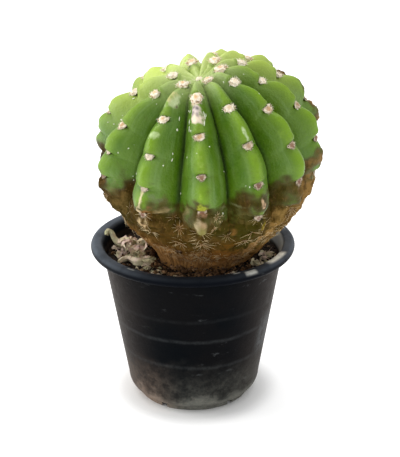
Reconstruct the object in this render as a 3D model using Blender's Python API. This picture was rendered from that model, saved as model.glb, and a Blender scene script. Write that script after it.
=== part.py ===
"""A potted easter lily cactus: one globular, deeply ribbed cactus in a round black
nursery pot, with two withered flowers lying on the soil.

Metres, +Z up, front towards -Y. The origin is the middle of the pot's flat foot, on the
surface that the pot stands on.
"""

import bisect
import math
import random

import bmesh
import bpy
from mathutils import Matrix, Vector, noise

# The gap between pieces that touch.
GAP = 0.0003

# The pot: a common 12 cm nursery pot with a rolled rim.
POT_HEIGHT = 0.0969
RIM_RADIUS = 0.060
RIM_DROP = 0.0055
RIM_INNER_RADIUS = 0.0535
WALL_TOP_RADIUS = 0.0531
WALL_FOOT_RADIUS = 0.0373
WALL = 0.0016
CORNER_RADIUS = 0.0099
FOOT_RADIUS = 0.0330
FOOT_HEIGHT = 0.0020
POT_SIDES = 48

# Drainage holes, round the edge of the foot.
DRAIN_COUNT = 5
DRAIN_RADIUS = 0.0030
DRAIN_CIRCLE = 0.0305
DRAIN_TURN = math.radians(-50)

# The soil.
SOIL_LEVEL = 0.087
SOIL_SIDES = 40
SOIL_LUMP = 0.0011
SOIL_LUMP_SIZE = 0.009
STEM_CLEARANCE = 0.0007

# The stem. Heights in its outline count from its middle. Its centre line bends: the crown
# leans to the front, and the foot curves back under it to stand near the pot's middle.
MIDDLE_HEIGHT = 0.1479
MIDDLE = (0.0100, -0.0088)
LEAN = (-0.009, -0.2755)
BEND = (-2.06, 0.79)
FOOT_BEND = (0.0, -4.3)
OUTLINE = [
    (0.0, 0.0515),
    (0.0070, 0.0548),
    (0.0150, 0.0576),
    (0.0240, 0.0570),
    (0.0340, 0.0526),
    (0.0465, 0.0450),
    (0.0580, 0.0335),
    (0.0648, 0.0205),
    (0.0668, 0.0080),
    (0.0645, -0.0040),
    (0.0585, -0.0160),
    (0.0500, -0.0260),
    (0.0425, -0.0350),
    (0.0358, -0.0450),
    (0.0284, -0.0550),
    (0.0237, -0.0620),
    (0.0184, -0.0720),
    (0.0138, -0.0820),
    (0.0078, -0.0880),
    (0.0, -0.0900),
]

# Where the stem is fuller or leaner on one side: how far down from the crown, over what
# length, towards the left (-1) or the right (1), and by how much.
SIDE_SWELLS = [
    (0.050, 0.020, -1, 0.0040),
    (0.130, 0.016, -1, 0.0045),
    (0.156, 0.016, -1, 0.0088),
    (0.108, 0.022, 1, -0.0030),
]

# Ribs. They crowd a little towards the right-hand side and the back, and their grooves run
# out into the corky foot well above the soil.
RIBS = 12
FRONT_RIB = math.radians(-4.5)
RIB_CROWDING = math.radians(9)
RIB_DEPTH = 0.0175
RIB_DEPTH_BY_RADIUS = 0.36
RIB_ROUNDNESS = 1.8
RIB_FADE = (0.088, 0.132)
NOTCH_FADE = (0.110, 0.158)
COLUMNS_PER_RIB = 8

# Rows of the stem's grid: four to each step between areoles, so that every areole has a
# row through its notch, then even rows down to the soil, and a few below its top.
ROWS_PER_AREOLE = 4
AREOLE_ROWS = 24
ROWS_TO_SOIL = 8
ROWS_IN_SOIL = 4
ARC_AT_SOIL = 0.1730

# Areoles: the woolly spots along each crest, in notches between its rounded swellings. A
# swelling peaks a little below its middle, and is fuller than a plain sine.
AREOLE_PITCH = 0.0272
AREOLE_TIGHTENING = 0.00105
AREOLES_PER_RIB = 6
NOTCH = 0.0055
SWELL_SKEW = 1.3
SWELL_FULLNESS = 0.7
PAD_RADIUS = 0.0026
OLD_PAD_RADIUS = 0.0016
PAD_HEIGHT = 0.0012
SPINE_RADIUS = 0.00035
YOUNG_SPINES = 2
OLD_SPINES = 4
YOUNG_SPINE = (0.0016, 0.0028)
OLD_SPINE = (0.0035, 0.0062)
FIRST_OLD_AREOLE = 4
SEED = 7

# The withered flowers: limp, folded tubes. The mouth's inner rings are given as a share
# of the last ring's radius and how far in they sit.
TUBE_SIDES = 12
TUBE_STEPS = 3
FOLDS = 4
MOUTH_RINGS = [(0.72, 0.08), (0.50, 0.90)]


def clear_scene():
    for thing in list(bpy.data.objects):
        bpy.data.objects.remove(thing, do_unlink=True)


def material(name, colour, roughness, metallic=0.0):
    made = bpy.data.materials.new(name)
    made.use_nodes = True
    shader = made.node_tree.nodes["Principled BSDF"]
    shader.inputs["Base Color"].default_value = (*colour, 1.0)
    shader.inputs["Roughness"].default_value = roughness
    shader.inputs["Metallic"].default_value = metallic
    made.diffuse_color = (*colour, 1.0)
    return made


def object_from(name, mesh_builder, finish=None, collection=None):
    """A mesh object from a bmesh, smooth but for its sharp edges."""
    bmesh.ops.recalc_face_normals(mesh_builder, faces=mesh_builder.faces[:])
    mesh = bpy.data.meshes.new(name)
    mesh_builder.to_mesh(mesh)
    mesh_builder.free()
    mesh.shade_smooth()
    mesh.set_sharp_from_angle(angle=math.radians(40))
    if finish:
        mesh.materials.append(finish)
    made = bpy.data.objects.new(name, mesh)
    (collection or bpy.context.scene.collection).objects.link(made)
    return made


def apply_modifiers(thing):
    graph = bpy.context.evaluated_depsgraph_get()
    mesh = bpy.data.meshes.new_from_object(thing.evaluated_get(graph))
    thing.modifiers.clear()
    thing.data = mesh


def keep_outer_shell(thing):
    """Fills the small hollows that a union seals, and drops its loose scraps."""
    solid = bmesh.new()
    solid.from_mesh(thing.data)
    left = set(solid.verts)
    shells = []
    while left:
        reached = {left.pop()}
        shell = set(reached)
        while reached:
            reached = {e.other_vert(v) for v in reached for e in v.link_edges} - shell
            shell |= reached
        left -= shell
        shells.append(shell)
    shells.sort(key=len)
    for shell in shells[:-1]:
        bmesh.ops.delete(solid, geom=list(shell), context="VERTS")
    solid.to_mesh(thing.data)
    solid.free()


def join_collection(thing, collection):
    """Unites the collection's objects with this one, then removes them."""
    union = thing.modifiers.new("union", "BOOLEAN")
    union.operation = "UNION"
    union.operand_type = "COLLECTION"
    union.collection = collection
    union.solver = "EXACT"
    apply_modifiers(thing)
    for part in list(collection.objects):
        bpy.data.objects.remove(part, do_unlink=True)
    bpy.data.collections.remove(collection)
    keep_outer_shell(thing)


def new_collection(name):
    made = bpy.data.collections.new(name)
    bpy.context.scene.collection.children.link(made)
    return made


def smooth_line(points, steps):
    """Points on a Catmull-Rom curve through the given ones, ends included."""
    points = [Vector(point) for point in points]
    ends = [2 * points[0] - points[1], *points, 2 * points[-1] - points[-2]]
    line = []
    for a, b, c, d in zip(ends, ends[1:], ends[2:], ends[3:]):
        for step in range(steps):
            t = step / steps
            line.append(
                0.5
                * (
                    2 * b
                    + (c - a) * t
                    + (2 * a - 5 * b + 4 * c - d) * t * t
                    + (3 * b - a - 3 * c + d) * t * t * t
                )
            )
    line.append(points[-1])
    return line


def spin_solid(profile, sides):
    """A bmesh turned from a closed profile of (radius, height) points."""
    solid = bmesh.new()
    points = [solid.verts.new((radius, 0, height)) for radius, height in profile]
    edges = [solid.edges.new(pair) for pair in zip(points, points[1:])]
    if profile[0][0] > 0:
        edges.append(solid.edges.new((points[-1], points[0])))
    bmesh.ops.spin(
        solid,
        geom=points + edges,
        cent=(0, 0, 0),
        axis=(0, 0, 1),
        angle=2 * math.pi,
        steps=sides,
        use_merge=True,
    )
    bmesh.ops.remove_doubles(solid, verts=solid.verts[:], dist=1e-6)
    return solid


def arc_points(centre, radius, start, end, steps):
    """Points of a quarter or half round in a profile, ends included; angles in degrees."""
    angles = [math.radians(start + (end - start) * n / steps) for n in range(steps + 1)]
    return [
        (centre[0] + radius * math.cos(angle), centre[1] + radius * math.sin(angle))
        for angle in angles
    ]


# The pot


def wall_radius(height):
    """Outer radius of the pot's straight wall."""
    taper = (WALL_TOP_RADIUS - WALL_FOOT_RADIUS) / (POT_HEIGHT - RIM_DROP)
    return WALL_FOOT_RADIUS + taper * height


def pot_profile():
    """The wall's section, from the foot up the outside, over the rim and down inside."""
    corner_height = FOOT_HEIGHT + CORNER_RADIUS
    corner = (wall_radius(corner_height) - CORNER_RADIUS, corner_height)
    outer_corner = [
        point
        for point in arc_points(corner, CORNER_RADIUS, -90, 0, 8)
        if point[0] > FOOT_RADIUS
    ]
    inner_corner = arc_points(corner, CORNER_RADIUS - WALL, 0, -90, 6)
    lip = WALL
    bead = RIM_DROP / 2
    under_rim = POT_HEIGHT - RIM_DROP
    bead_centre = (RIM_RADIUS - bead, POT_HEIGHT - bead)
    outside = [
        (wall_radius(under_rim), under_rim),
        (wall_radius(under_rim) + 0.0004, POT_HEIGHT - 1.7 * lip),
        (RIM_RADIUS - bead, POT_HEIGHT - lip),
        (RIM_RADIUS - lip, POT_HEIGHT - bead),
        (RIM_RADIUS - lip, under_rim + 0.0004),
        *arc_points(bead_centre, bead, -50, 90, 7),
    ]
    inside = [
        (RIM_INNER_RADIUS + 0.0012, POT_HEIGHT - 0.0002),
        (RIM_INNER_RADIUS, POT_HEIGHT - 0.0010),
        (wall_radius(under_rim) - WALL + 0.0006, POT_HEIGHT - 0.0030),
        (wall_radius(under_rim) - WALL, under_rim - 0.0010),
    ]
    floor_top = FOOT_HEIGHT + WALL
    return [
        (0.0, 0.0),
        (FOOT_RADIUS - 0.0004, 0.0),
        (FOOT_RADIUS, 0.0004),
        (FOOT_RADIUS, outer_corner[0][1]),
        *outer_corner,
        *outside,
        *inside,
        *inner_corner[:-1],
        (corner[0], floor_top),
        (0.0, floor_top),
    ]


def make_pot():
    plastic = material("black_pot_plastic", (0.022, 0.022, 0.025), 0.45)
    pot = object_from("pot", spin_solid(pot_profile(), POT_SIDES), plastic)
    cutters = bmesh.new()
    for n in range(DRAIN_COUNT):
        angle = DRAIN_TURN + 2 * math.pi * n / DRAIN_COUNT
        place = Vector((math.cos(angle), math.sin(angle), 0)) * DRAIN_CIRCLE
        bmesh.ops.create_cone(
            cutters,
            cap_ends=True,
            segments=10,
            radius1=DRAIN_RADIUS,
            radius2=DRAIN_RADIUS,
            depth=4 * FOOT_HEIGHT,
            matrix=Matrix.Translation(place + Vector((0, 0, FOOT_HEIGHT))),
        )
    drains = object_from("drain_cutters", cutters)
    cut = pot.modifiers.new("drains", "BOOLEAN")
    cut.operation = "DIFFERENCE"
    cut.object = drains
    apply_modifiers(pot)
    bpy.data.objects.remove(drains, do_unlink=True)
    return pot


# The stem's shape


def outline_by_arc():
    """The crest's outline from crown to foot as (arc length, radius, height)."""
    line = smooth_line([(radius, height, 0) for radius, height in OUTLINE], 10)
    total = 0.0
    table = [(0.0, line[0].x, line[0].y)]
    for before, after in zip(line, line[1:]):
        total += (after - before).length
        table.append((total, max(0.0, after.x), after.y))
    return table


CREST = outline_by_arc()
CREST_ARCS = [row[0] for row in CREST]
ARC_TOTAL = CREST_ARCS[-1]


def crest_at(arc):
    """Radius and height on the crest's outline, and its outward direction there."""
    arc = min(max(arc, 0.0), ARC_TOTAL)
    after = min(max(bisect.bisect_left(CREST_ARCS, arc), 1), len(CREST) - 1)
    (a, r_a, h_a), (b, r_b, h_b) = CREST[after - 1], CREST[after]
    t = (arc - a) / (b - a)
    along = Vector((r_b - r_a, h_b - h_a)).normalized()
    return r_a + (r_b - r_a) * t, h_a + (h_b - h_a) * t, Vector((-along.y, along.x))


def smooth_step(low, high, value):
    t = min(max((value - low) / (high - low), 0.0), 1.0)
    return t * t * (3 - 2 * t)


def rib_direction(rib):
    """Angle from the front of a crest (whole numbers) or a groove (halves)."""
    even = 2 * math.pi * rib / RIBS
    return FRONT_RIB + even - RIB_CROWDING * (1 - math.cos(even))


def step_arc(step):
    """Arc length after this many steps between areoles, which tighten down the rib."""
    return AREOLE_PITCH * step - AREOLE_TIGHTENING * step * step


def areole_arc(rib, number):
    """Arc length of an areole; every other rib's areoles sit half a step higher."""
    return step_arc(number - 0.5 * (rib % 2))


def swelling(rib, arc):
    """How far a crest swells here, from 0 in an areole's notch to 1 midway to the next."""
    marks = [0.0, *(areole_arc(rib, n) for n in range(1, AREOLES_PER_RIB + 3))]
    after = min(max(bisect.bisect_right(marks, arc), 1), len(marks) - 1)
    u = (arc - marks[after - 1]) / (marks[after] - marks[after - 1])
    return max(0.0, math.sin(math.pi * min(max(u, 0.0), 1.0) ** SWELL_SKEW)) ** SWELL_FULLNESS


def rib_depth(arc, radius):
    rise = min(RIB_DEPTH, RIB_DEPTH_BY_RADIUS * radius)
    return rise * (1 - smooth_step(*RIB_FADE, arc))


def frame_at(height):
    """The bent centre line's point at this height from the middle, and its three axes."""
    point = Vector((*MIDDLE, MIDDLE_HEIGHT + height))
    up = Vector((*LEAN, 1.0))
    below = min(height, 0.0)
    for axis in (0, 1):
        point[axis] += LEAN[axis] * height + BEND[axis] * height**2 + FOOT_BEND[axis] * below**2
        up[axis] += 2 * (BEND[axis] * height + FOOT_BEND[axis] * below)
    up.normalize()
    right = Vector((0, 1, 0)).cross(up).normalized()
    return point, right, up.cross(right), up


def side_swell(arc, sideways):
    """How much fuller the stem is here, by how far this side faces right (1) or left (-1)."""
    return sum(
        amount * max(0.0, side * sideways) * math.exp(-(((arc - where) / length) ** 2))
        for where, length, side, amount in SIDE_SWELLS
    )


def stem_point(arc, rib):
    """A point of the stem's skin: whole ribs are crests, halves are grooves."""
    radius, height, outward = crest_at(arc)
    nearest = round(rib)
    across = 2 * abs(rib - nearest)
    depth = rib_depth(arc, radius) * across**RIB_ROUNDNESS
    notch = NOTCH * min(1.0, radius / 0.03) * (1 - smooth_step(*NOTCH_FADE, arc))
    notch *= (1 - swelling(nearest % RIBS, arc)) * (1 - across) ** 1.3
    radius -= outward.x * (depth + notch)
    height -= outward.y * (depth + notch)
    centre, right, back, up = frame_at(height)
    angle = rib_direction(rib)
    radius = max(radius + side_swell(arc, math.sin(angle)), 0.0)
    return centre + radius * (math.sin(angle) * right - math.cos(angle) * back)


def stem_frame(arc, rib):
    """A crest point with its directions down the rib, across it and outwards."""
    step = 0.002
    point = stem_point(arc, rib)
    down = (stem_point(arc + step, rib) - stem_point(arc - step, rib)).normalized()
    across = (stem_point(arc, rib + 0.05) - stem_point(arc, rib - 0.05)).normalized()
    return point, down, across, down.cross(across).normalized()


def row_arc(row):
    """Arc length of a row of the stem's grid."""
    if row <= AREOLE_ROWS:
        return step_arc(row / ROWS_PER_AREOLE)
    last = step_arc(AREOLE_ROWS / ROWS_PER_AREOLE)
    row -= AREOLE_ROWS
    if row <= ROWS_TO_SOIL:
        return last + (ARC_AT_SOIL - last) * row / ROWS_TO_SOIL
    below = (row - ROWS_TO_SOIL) / ROWS_IN_SOIL
    return ARC_AT_SOIL + (ARC_TOTAL - ARC_AT_SOIL) * below


def stem_solid():
    """A globe whose rows and columns are moved onto the ribbed skin."""
    rows = AREOLE_ROWS + ROWS_TO_SOIL + ROWS_IN_SOIL
    columns = RIBS * COLUMNS_PER_RIB
    solid = bmesh.new()
    bmesh.ops.create_uvsphere(solid, u_segments=columns, v_segments=rows, radius=1)
    for point in solid.verts:
        row = math.acos(min(max(point.co.z, -1), 1)) / math.pi * rows
        turn = math.atan2(point.co.y, point.co.x) / (2 * math.pi) % 1.0
        column = round(turn * columns) % columns
        point.co = stem_point(row_arc(round(row)), column / COLUMNS_PER_RIB)
    return solid


# Areoles


def add_pad(place, out, radius, height, collection):
    """A low five-sided mound of wool, sunk half its height into the crest."""
    pad = bmesh.new()
    turn = out.to_track_quat("Z", "Y").to_matrix().to_4x4()
    bmesh.ops.create_cone(
        pad,
        cap_ends=True,
        segments=5,
        radius1=radius,
        radius2=0.55 * radius,
        depth=2 * height,
        matrix=Matrix.Translation(place) @ turn,
    )
    object_from("pad", pad, collection=collection)


def add_spine(root, direction, length, collection):
    """A three-sided spine whose root is sunk into the pad."""
    spine = bmesh.new()
    sunk = 0.25 * length
    turn = direction.to_track_quat("Z", "Y").to_matrix().to_4x4()
    bmesh.ops.create_cone(
        spine,
        cap_ends=True,
        segments=3,
        radius1=SPINE_RADIUS,
        radius2=0.08 * SPINE_RADIUS,
        depth=length + sunk,
        matrix=Matrix.Translation(root + direction * (length - sunk) / 2) @ turn,
    )
    bmesh.ops.remove_doubles(spine, verts=spine.verts[:], dist=0.2 * SPINE_RADIUS)
    object_from("spine", spine, collection=collection)


def add_areole(rib, number, draw, collection):
    arc = areole_arc(rib, number)
    point, down, across, out = stem_frame(arc, rib)
    age = smooth_step(1, AREOLES_PER_RIB, number)
    radius = PAD_RADIUS + (OLD_PAD_RADIUS - PAD_RADIUS) * age
    add_pad(point, out, radius, PAD_HEIGHT, collection)
    old = number >= FIRST_OLD_AREOLE
    count = OLD_SPINES if old else YOUNG_SPINES
    low, high = OLD_SPINE if old else YOUNG_SPINE
    turned = draw.uniform(0, 2 * math.pi)
    for n in range(count):
        angle = turned + 2 * math.pi * n / count
        tilt = math.radians(draw.uniform(50, 66))
        sideways = math.cos(angle) * across + math.sin(angle) * down
        direction = math.sin(tilt) * sideways + math.cos(tilt) * out
        root = point + 0.3 * PAD_HEIGHT * out + 0.35 * radius * sideways
        add_spine(root, direction, draw.uniform(low, high), collection)


def make_cactus():
    skin = material("cactus_skin", (0.12, 0.30, 0.05), 0.5)
    cactus = object_from("cactus", stem_solid(), skin)
    repeats = new_collection("areoles")
    draw = random.Random(SEED)
    for rib in range(RIBS):
        for number in range(1, AREOLES_PER_RIB + 1):
            add_areole(rib, number, draw, repeats)
    crown, _, _, up = frame_at(OUTLINE[0][1])
    add_pad(crown, up, 1.5 * PAD_RADIUS, 1.2 * PAD_HEIGHT, repeats)
    join_collection(cactus, repeats)
    return cactus


# The soil


def soil_height(x, y):
    """The soil's lumpy top."""
    lumps = noise.noise(Vector((x, y, 0)) / SOIL_LUMP_SIZE)
    grains = noise.noise(Vector((x, y, 0.05)) / (0.45 * SOIL_LUMP_SIZE))
    return SOIL_LEVEL + SOIL_LUMP * (lumps + 0.4 * grains)


def soil_profile():
    """The inside of the pot, less a small gap, closed by a flat top with rings."""
    corner_height = FOOT_HEIGHT + CORNER_RADIUS
    corner = (wall_radius(corner_height) - CORNER_RADIUS, corner_height)
    round_corner = arc_points(corner, CORNER_RADIUS - WALL - GAP, -90, 0, 5)
    edge = wall_radius(SOIL_LEVEL) - WALL - GAP
    rings = 6
    top = [(edge * (rings - n) / rings, SOIL_LEVEL) for n in range(rings + 1)]
    bottom = FOOT_HEIGHT + WALL + GAP
    return [(0.0, bottom), *round_corner, *top]


def stem_hole():
    """The stem's buried foot, grown by the gap, as a cutter."""
    rings = 11
    hole = bmesh.new()
    bmesh.ops.create_uvsphere(hole, u_segments=SOIL_SIDES, v_segments=rings, radius=1)
    top_arc = ARC_AT_SOIL - 0.02
    for point in hole.verts:
        row = round(math.acos(min(max(point.co.z, -1), 1)) / math.pi * rings)
        angle = math.atan2(point.co.y, point.co.x)
        arc = top_arc + (ARC_TOTAL - top_arc) * max(row - 1, 0) / (rings - 1)
        radius, height, outward = crest_at(arc)
        radius += side_swell(arc, math.cos(angle)) + STEM_CLEARANCE * max(outward.x, 0)
        radius = 0.0 if row in (0, rings) else radius
        height += STEM_CLEARANCE * min(outward.y, 0)
        centre, right, back, up = frame_at(height)
        point.co = centre + radius * (math.cos(angle) * right + math.sin(angle) * back)
    return hole


def make_soil():
    earth = material("potting_soil", (0.045, 0.032, 0.022), 0.95)
    body = spin_solid(soil_profile(), SOIL_SIDES)
    edge = wall_radius(SOIL_LEVEL) - WALL - 2 * GAP
    for point in body.verts:
        if point.co.z > SOIL_LEVEL - GAP and point.co.xy.length < edge:
            point.co.z = soil_height(point.co.x, point.co.y)
    soil = object_from("soil", body, earth)
    cutter = object_from("stem_hole", stem_hole())
    cut = soil.modifiers.new("hole", "BOOLEAN")
    cut.operation = "DIFFERENCE"
    cut.object = cutter
    apply_modifiers(soil)
    bpy.data.objects.remove(cutter, do_unlink=True)
    return soil


# The withered flowers


def value_at(values, place):
    """The value at a place in a list that may lie between two of its values."""
    place = min(place, len(values) - 1.001)
    low = int(place)
    return values[low] + (values[low + 1] - values[low]) * (place - low)


def trumpet_solid(route, radii, folds):
    """A closed tube along a smooth route that ends in an open mouth.

    Radius and depth of the folds run through the given values, one a route point.
    """
    line = smooth_line(route, TUBE_STEPS)
    rings = []
    for n, point in enumerate(line):
        ahead = line[min(n + 1, len(line) - 1)] - line[max(n - 1, 0)]
        place = n / TUBE_STEPS
        rings.append((point, ahead, value_at(radii, place), value_at(folds, place)))
    end, ahead, radius, fold = rings[-1]
    for share, sunk in MOUTH_RINGS:
        inner = end - ahead.normalized() * sunk * radius
        rings.append((inner, ahead, share * radius, fold))
    solid = bmesh.new()
    loops = []
    for n, (centre, ahead, radius, fold) in enumerate(rings):
        turn = ahead.to_track_quat("Z", "Y").to_matrix().to_4x4()
        ring = bmesh.ops.create_circle(
            solid,
            cap_ends=n in (0, len(rings) - 1),
            segments=TUBE_SIDES,
            radius=radius,
            matrix=Matrix.Translation(centre) @ turn,
        )["verts"]
        for k, corner in enumerate(ring):
            folded = 1 + fold * math.cos(2 * math.pi * FOLDS * k / TUBE_SIDES)
            corner.co = centre + (corner.co - centre) * folded
        loops.append([edge for edge in solid.edges if set(edge.verts) <= set(ring)])
    for low, high in zip(loops, loops[1:]):
        bmesh.ops.bridge_loops(solid, edges=low + high)
    return solid


def on_soil(x, y, lift):
    """A point this far above the soil's top and the gap over it."""
    return Vector((x, y, soil_height(x, y) + 1.5 * GAP + lift))


def make_withered_flower():
    dry = material("withered_petal", (0.42, 0.33, 0.24), 0.85)
    route = [
        on_soil(-0.0510, 0.0050, 0.0094),
        on_soil(-0.0504, 0.0068, 0.0116),
        on_soil(-0.0484, 0.0066, 0.0106),
        on_soil(-0.0462, 0.0052, 0.0068),
        on_soil(-0.0430, 0.0042, 0.0050),
        on_soil(-0.0388, 0.0034, 0.0049),
        on_soil(-0.0352, 0.0010, 0.0050),
    ]
    radii = [0.0009, 0.0011, 0.0012, 0.0015, 0.0024, 0.0035, 0.0039]
    folds = [0.0, 0.0, 0.05, 0.05, 0.12, 0.18, 0.20]
    return object_from("withered_flower", trumpet_solid(route, radii, folds), dry)


def make_withered_tube():
    dry = material("withered_tube", (0.45, 0.38, 0.24), 0.85)
    route = [
        on_soil(-0.0428, -0.0170, 0.0016),
        on_soil(-0.0410, -0.0136, 0.0020),
        on_soil(-0.0376, -0.0122, 0.0022),
        on_soil(-0.0344, -0.0152, 0.0023),
        on_soil(-0.0320, -0.0186, 0.0024),
        on_soil(-0.0282, -0.0164, 0.0024),
    ]
    radii = [0.0010, 0.0014, 0.0016, 0.0018, 0.0020, 0.0022]
    folds = [0.0, 0.08, 0.08, 0.08, 0.06, 0.06]
    return object_from("withered_tube", trumpet_solid(route, radii, folds), dry)


clear_scene()
make_pot()
make_soil()
make_cactus()
make_withered_flower()
make_withered_tube()
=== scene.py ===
"""The looks of a potted easter lily cactus, built in its solids' frame.

Metres, +Z up, front towards -Y, the middle of the pot's foot at the origin.
"""

import bisect
import math
import random

import bmesh
import bpy
from mathutils import Matrix, Vector, noise


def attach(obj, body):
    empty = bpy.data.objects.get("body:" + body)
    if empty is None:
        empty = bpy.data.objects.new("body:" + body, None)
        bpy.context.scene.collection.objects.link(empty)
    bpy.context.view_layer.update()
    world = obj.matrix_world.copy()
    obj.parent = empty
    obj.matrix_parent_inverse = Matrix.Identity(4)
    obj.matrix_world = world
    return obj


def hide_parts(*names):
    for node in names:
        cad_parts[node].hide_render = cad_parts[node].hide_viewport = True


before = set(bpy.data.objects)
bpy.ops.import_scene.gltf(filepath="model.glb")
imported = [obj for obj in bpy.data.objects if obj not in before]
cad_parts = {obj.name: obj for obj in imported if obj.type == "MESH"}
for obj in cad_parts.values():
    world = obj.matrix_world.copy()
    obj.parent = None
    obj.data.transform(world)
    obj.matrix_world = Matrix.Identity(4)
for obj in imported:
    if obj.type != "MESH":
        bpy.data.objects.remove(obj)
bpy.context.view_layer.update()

# The pot. A nursery pot of thin black plastic, moulded in one piece. Its wall tapers to a
# rounded corner and a flat foot with drainage holes, and its rim is rolled out and down.
# Potting dust clings to the foot, and the rim is scuffed and has smears of dried paint.
POT_HEIGHT = 0.0969
RIM_RADIUS = 0.060
RIM_DROP = 0.0055
RIM_INNER_RADIUS = 0.0535
WALL_TOP_RADIUS = 0.0531
WALL_FOOT_RADIUS = 0.0373
WALL = 0.0016
CORNER_RADIUS = 0.0099
FOOT_RADIUS = 0.0330
FOOT_HEIGHT = 0.0020
CORNER_HEIGHT = FOOT_HEIGHT + CORNER_RADIUS
POT_SIDES = 160
DRAIN_COUNT = 5
DRAIN_RADIUS = 0.0030
DRAIN_CIRCLE = 0.0305
DRAIN_TURN = math.radians(-50)
WALL_RINGS = 12
WALL_TAPER = (WALL_TOP_RADIUS - WALL_FOOT_RADIUS) / (POT_HEIGHT - RIM_DROP)
BEVEL = 0.0004

# Scratches round the wall: their heights and strengths, and how far they waver. One lighter patch lies on
# the right, at this angle from the front and this height.
SCRATCH_RINGS = [(0.0515, 0.12), (0.0335, 0.10), (0.0655, 0.04)]
RING_WAVER = 0.004
PATCH_ANGLE = math.radians(66)
PATCH_HEIGHT = 0.045

# Smears of dried paint on the rim: angle and half angle in degrees, radius, half width and
# strength.
RIM_SMEARS = [
    (59, 11.5, 0.0547, 0.0042, 1.0),
    (34.0, 4.6, 0.0582, 0.0018, 0.46),
    (26, 2.6, 0.0560, 0.0010, 0.30),
    (-38, 3.0, 0.0562, 0.0008, 0.25),
]


def screen(red, green, blue):
    """A screen colour, 0 to 255, as the linear colour a shader takes."""
    linear = [((c / 255 + 0.055) / 1.055) ** 2.4 if c > 10 else c / 3295 for c in (red, green, blue)]
    return (*linear, 1.0)


def node(beside, kind, inputs=(), **settings):
    """A node in the tree of a socket or node, its inputs set to values or linked."""
    tree = beside.id_data
    made = tree.nodes.new(kind)
    for name, value in settings.items():
        setattr(made, name, value)
    for name, value in dict(inputs).items():
        if isinstance(value, bpy.types.NodeSocket):
            tree.links.new(value, made.inputs[name])
        else:
            made.inputs[name].default_value = value
    return made


def new_finish(name, roughness=0.5, specular=0.5):
    """A material, its Principled shader and the piece's own coordinates in it."""
    made = bpy.data.materials.new(name)
    made.use_nodes = True
    shader = made.node_tree.nodes["Principled BSDF"]
    shader.inputs["Roughness"].default_value = roughness
    shader.inputs["Specular IOR Level"].default_value = specular
    return made, shader, node(shader, "ShaderNodeTexCoord").outputs["Object"]


def feed(shader, name, value):
    """Links a socket to one of the shader's own."""
    shader.id_data.links.new(value, shader.inputs[name])


def attribute(shader, name):
    """The outputs that read one of the mesh's attributes."""
    return node(shader, "ShaderNodeAttribute", attribute_name=name).outputs


def parts_of(vector):
    """The three parts of a vector socket."""
    return node(vector, "ShaderNodeSeparateXYZ", {"Vector": vector}).outputs


def stretched(vector, *factors):
    """A vector with each part times a factor of its own."""
    return node(
        vector, "ShaderNodeVectorMath", {0: vector, 1: factors}, operation="MULTIPLY"
    ).outputs[0]


def length_of(vector):
    return node(vector, "ShaderNodeVectorMath", {0: vector}, operation="LENGTH").outputs["Value"]


def patches(vector, scale, detail=3.0, roughness=0.55, distortion=0.0):
    """Cloudy patches from 0 to 1, mostly near a half."""
    inputs = {"Vector": vector, "Scale": scale, "Detail": detail}
    inputs.update({"Roughness": roughness, "Distortion": distortion})
    return node(vector, "ShaderNodeTexNoise", inputs).outputs["Fac"]


def stepped(value, low, high, first=0.0, last=1.0):
    """A smooth step from first, where the value is low, to last, where it is high."""
    inputs = {"Value": value, "From Min": low, "From Max": high, "To Min": first, "To Max": last}
    return node(value, "ShaderNodeMapRange", inputs, interpolation_type="SMOOTHSTEP").outputs[0]


def maths(operation, first, second=0.0, third=0.0):
    inputs = {0: first, 1: second, 2: third}
    return node(first, "ShaderNodeMath", inputs, operation=operation).outputs[0]


def times(first, *others):
    for other in others:
        first = maths("MULTIPLY", first, other)
    return first


def largest(first, *others):
    for other in others:
        first = maths("MAXIMUM", first, other)
    return first


def away(value, middle):
    """How far a value is from a middle, either way."""
    return maths("ABSOLUTE", maths("SUBTRACT", value, middle))


def uneven(value, pattern, amount):
    """A value that a pattern moves up and down by half the amount."""
    return maths("ADD", value, maths("MULTIPLY_ADD", pattern, amount, -amount / 2))


def mixed(share, first, second):
    """The first colour where share is 0 and the second where it is 1."""
    return node(share, "ShaderNodeMix", {0: share, 6: first, 7: second}, data_type="RGBA").outputs[2]


def coated(colour, *coats):
    """A colour under coats: each is a pattern, the steps it is put through, if any, and a
    paint, which is a screen colour or a socket."""
    for pattern, *steps, paint in coats:
        share = stepped(pattern, *steps) if steps else pattern
        colour = mixed(share, colour, screen(*paint) if isinstance(paint, tuple) else paint)
    return colour


def bumped(shader, height, depth):
    """Fine relief, this many metres deep, on a shader."""
    feed(shader, "Normal", node(shader, "ShaderNodeBump", {"Height": height, "Distance": depth}).outputs[0])


def as_mesh(name, solid):
    """The mesh of a bmesh, which itself is done with."""
    mesh = bpy.data.meshes.new(name)
    solid.to_mesh(mesh)
    solid.free()
    return mesh


def new_object(name, data):
    """An object for a mesh, a light or a camera, in the scene."""
    made = bpy.data.objects.new(name, data)
    bpy.context.scene.collection.objects.link(made)
    return made


def compass(turn, rise=0.0):
    """A level vector, a unit long, this far round from +X, with a rise of its own."""
    return Vector((math.cos(turn), math.sin(turn), rise))


def add_piece(name, solid, finish, stands_for=None, sharp=40):
    """Makes a bmesh a smooth piece that rides on the only body."""
    bmesh.ops.recalc_face_normals(solid, faces=solid.faces[:])
    mesh = as_mesh(name, solid)
    mesh.shade_smooth()
    mesh.set_sharp_from_angle(angle=math.radians(sharp))
    mesh.materials.append(finish)
    piece = new_object(name, mesh)
    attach(piece, "root")
    if stands_for:
        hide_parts(stands_for)
    return piece


def arc_points(centre, radius, start, end, steps):
    """Points of a quarter or half round in a profile, ends included; angles in degrees."""
    angles = [math.radians(start + (end - start) * n / steps) for n in range(steps + 1)]
    return [(centre[0] + radius * math.cos(a), centre[1] + radius * math.sin(a)) for a in angles]


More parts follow.
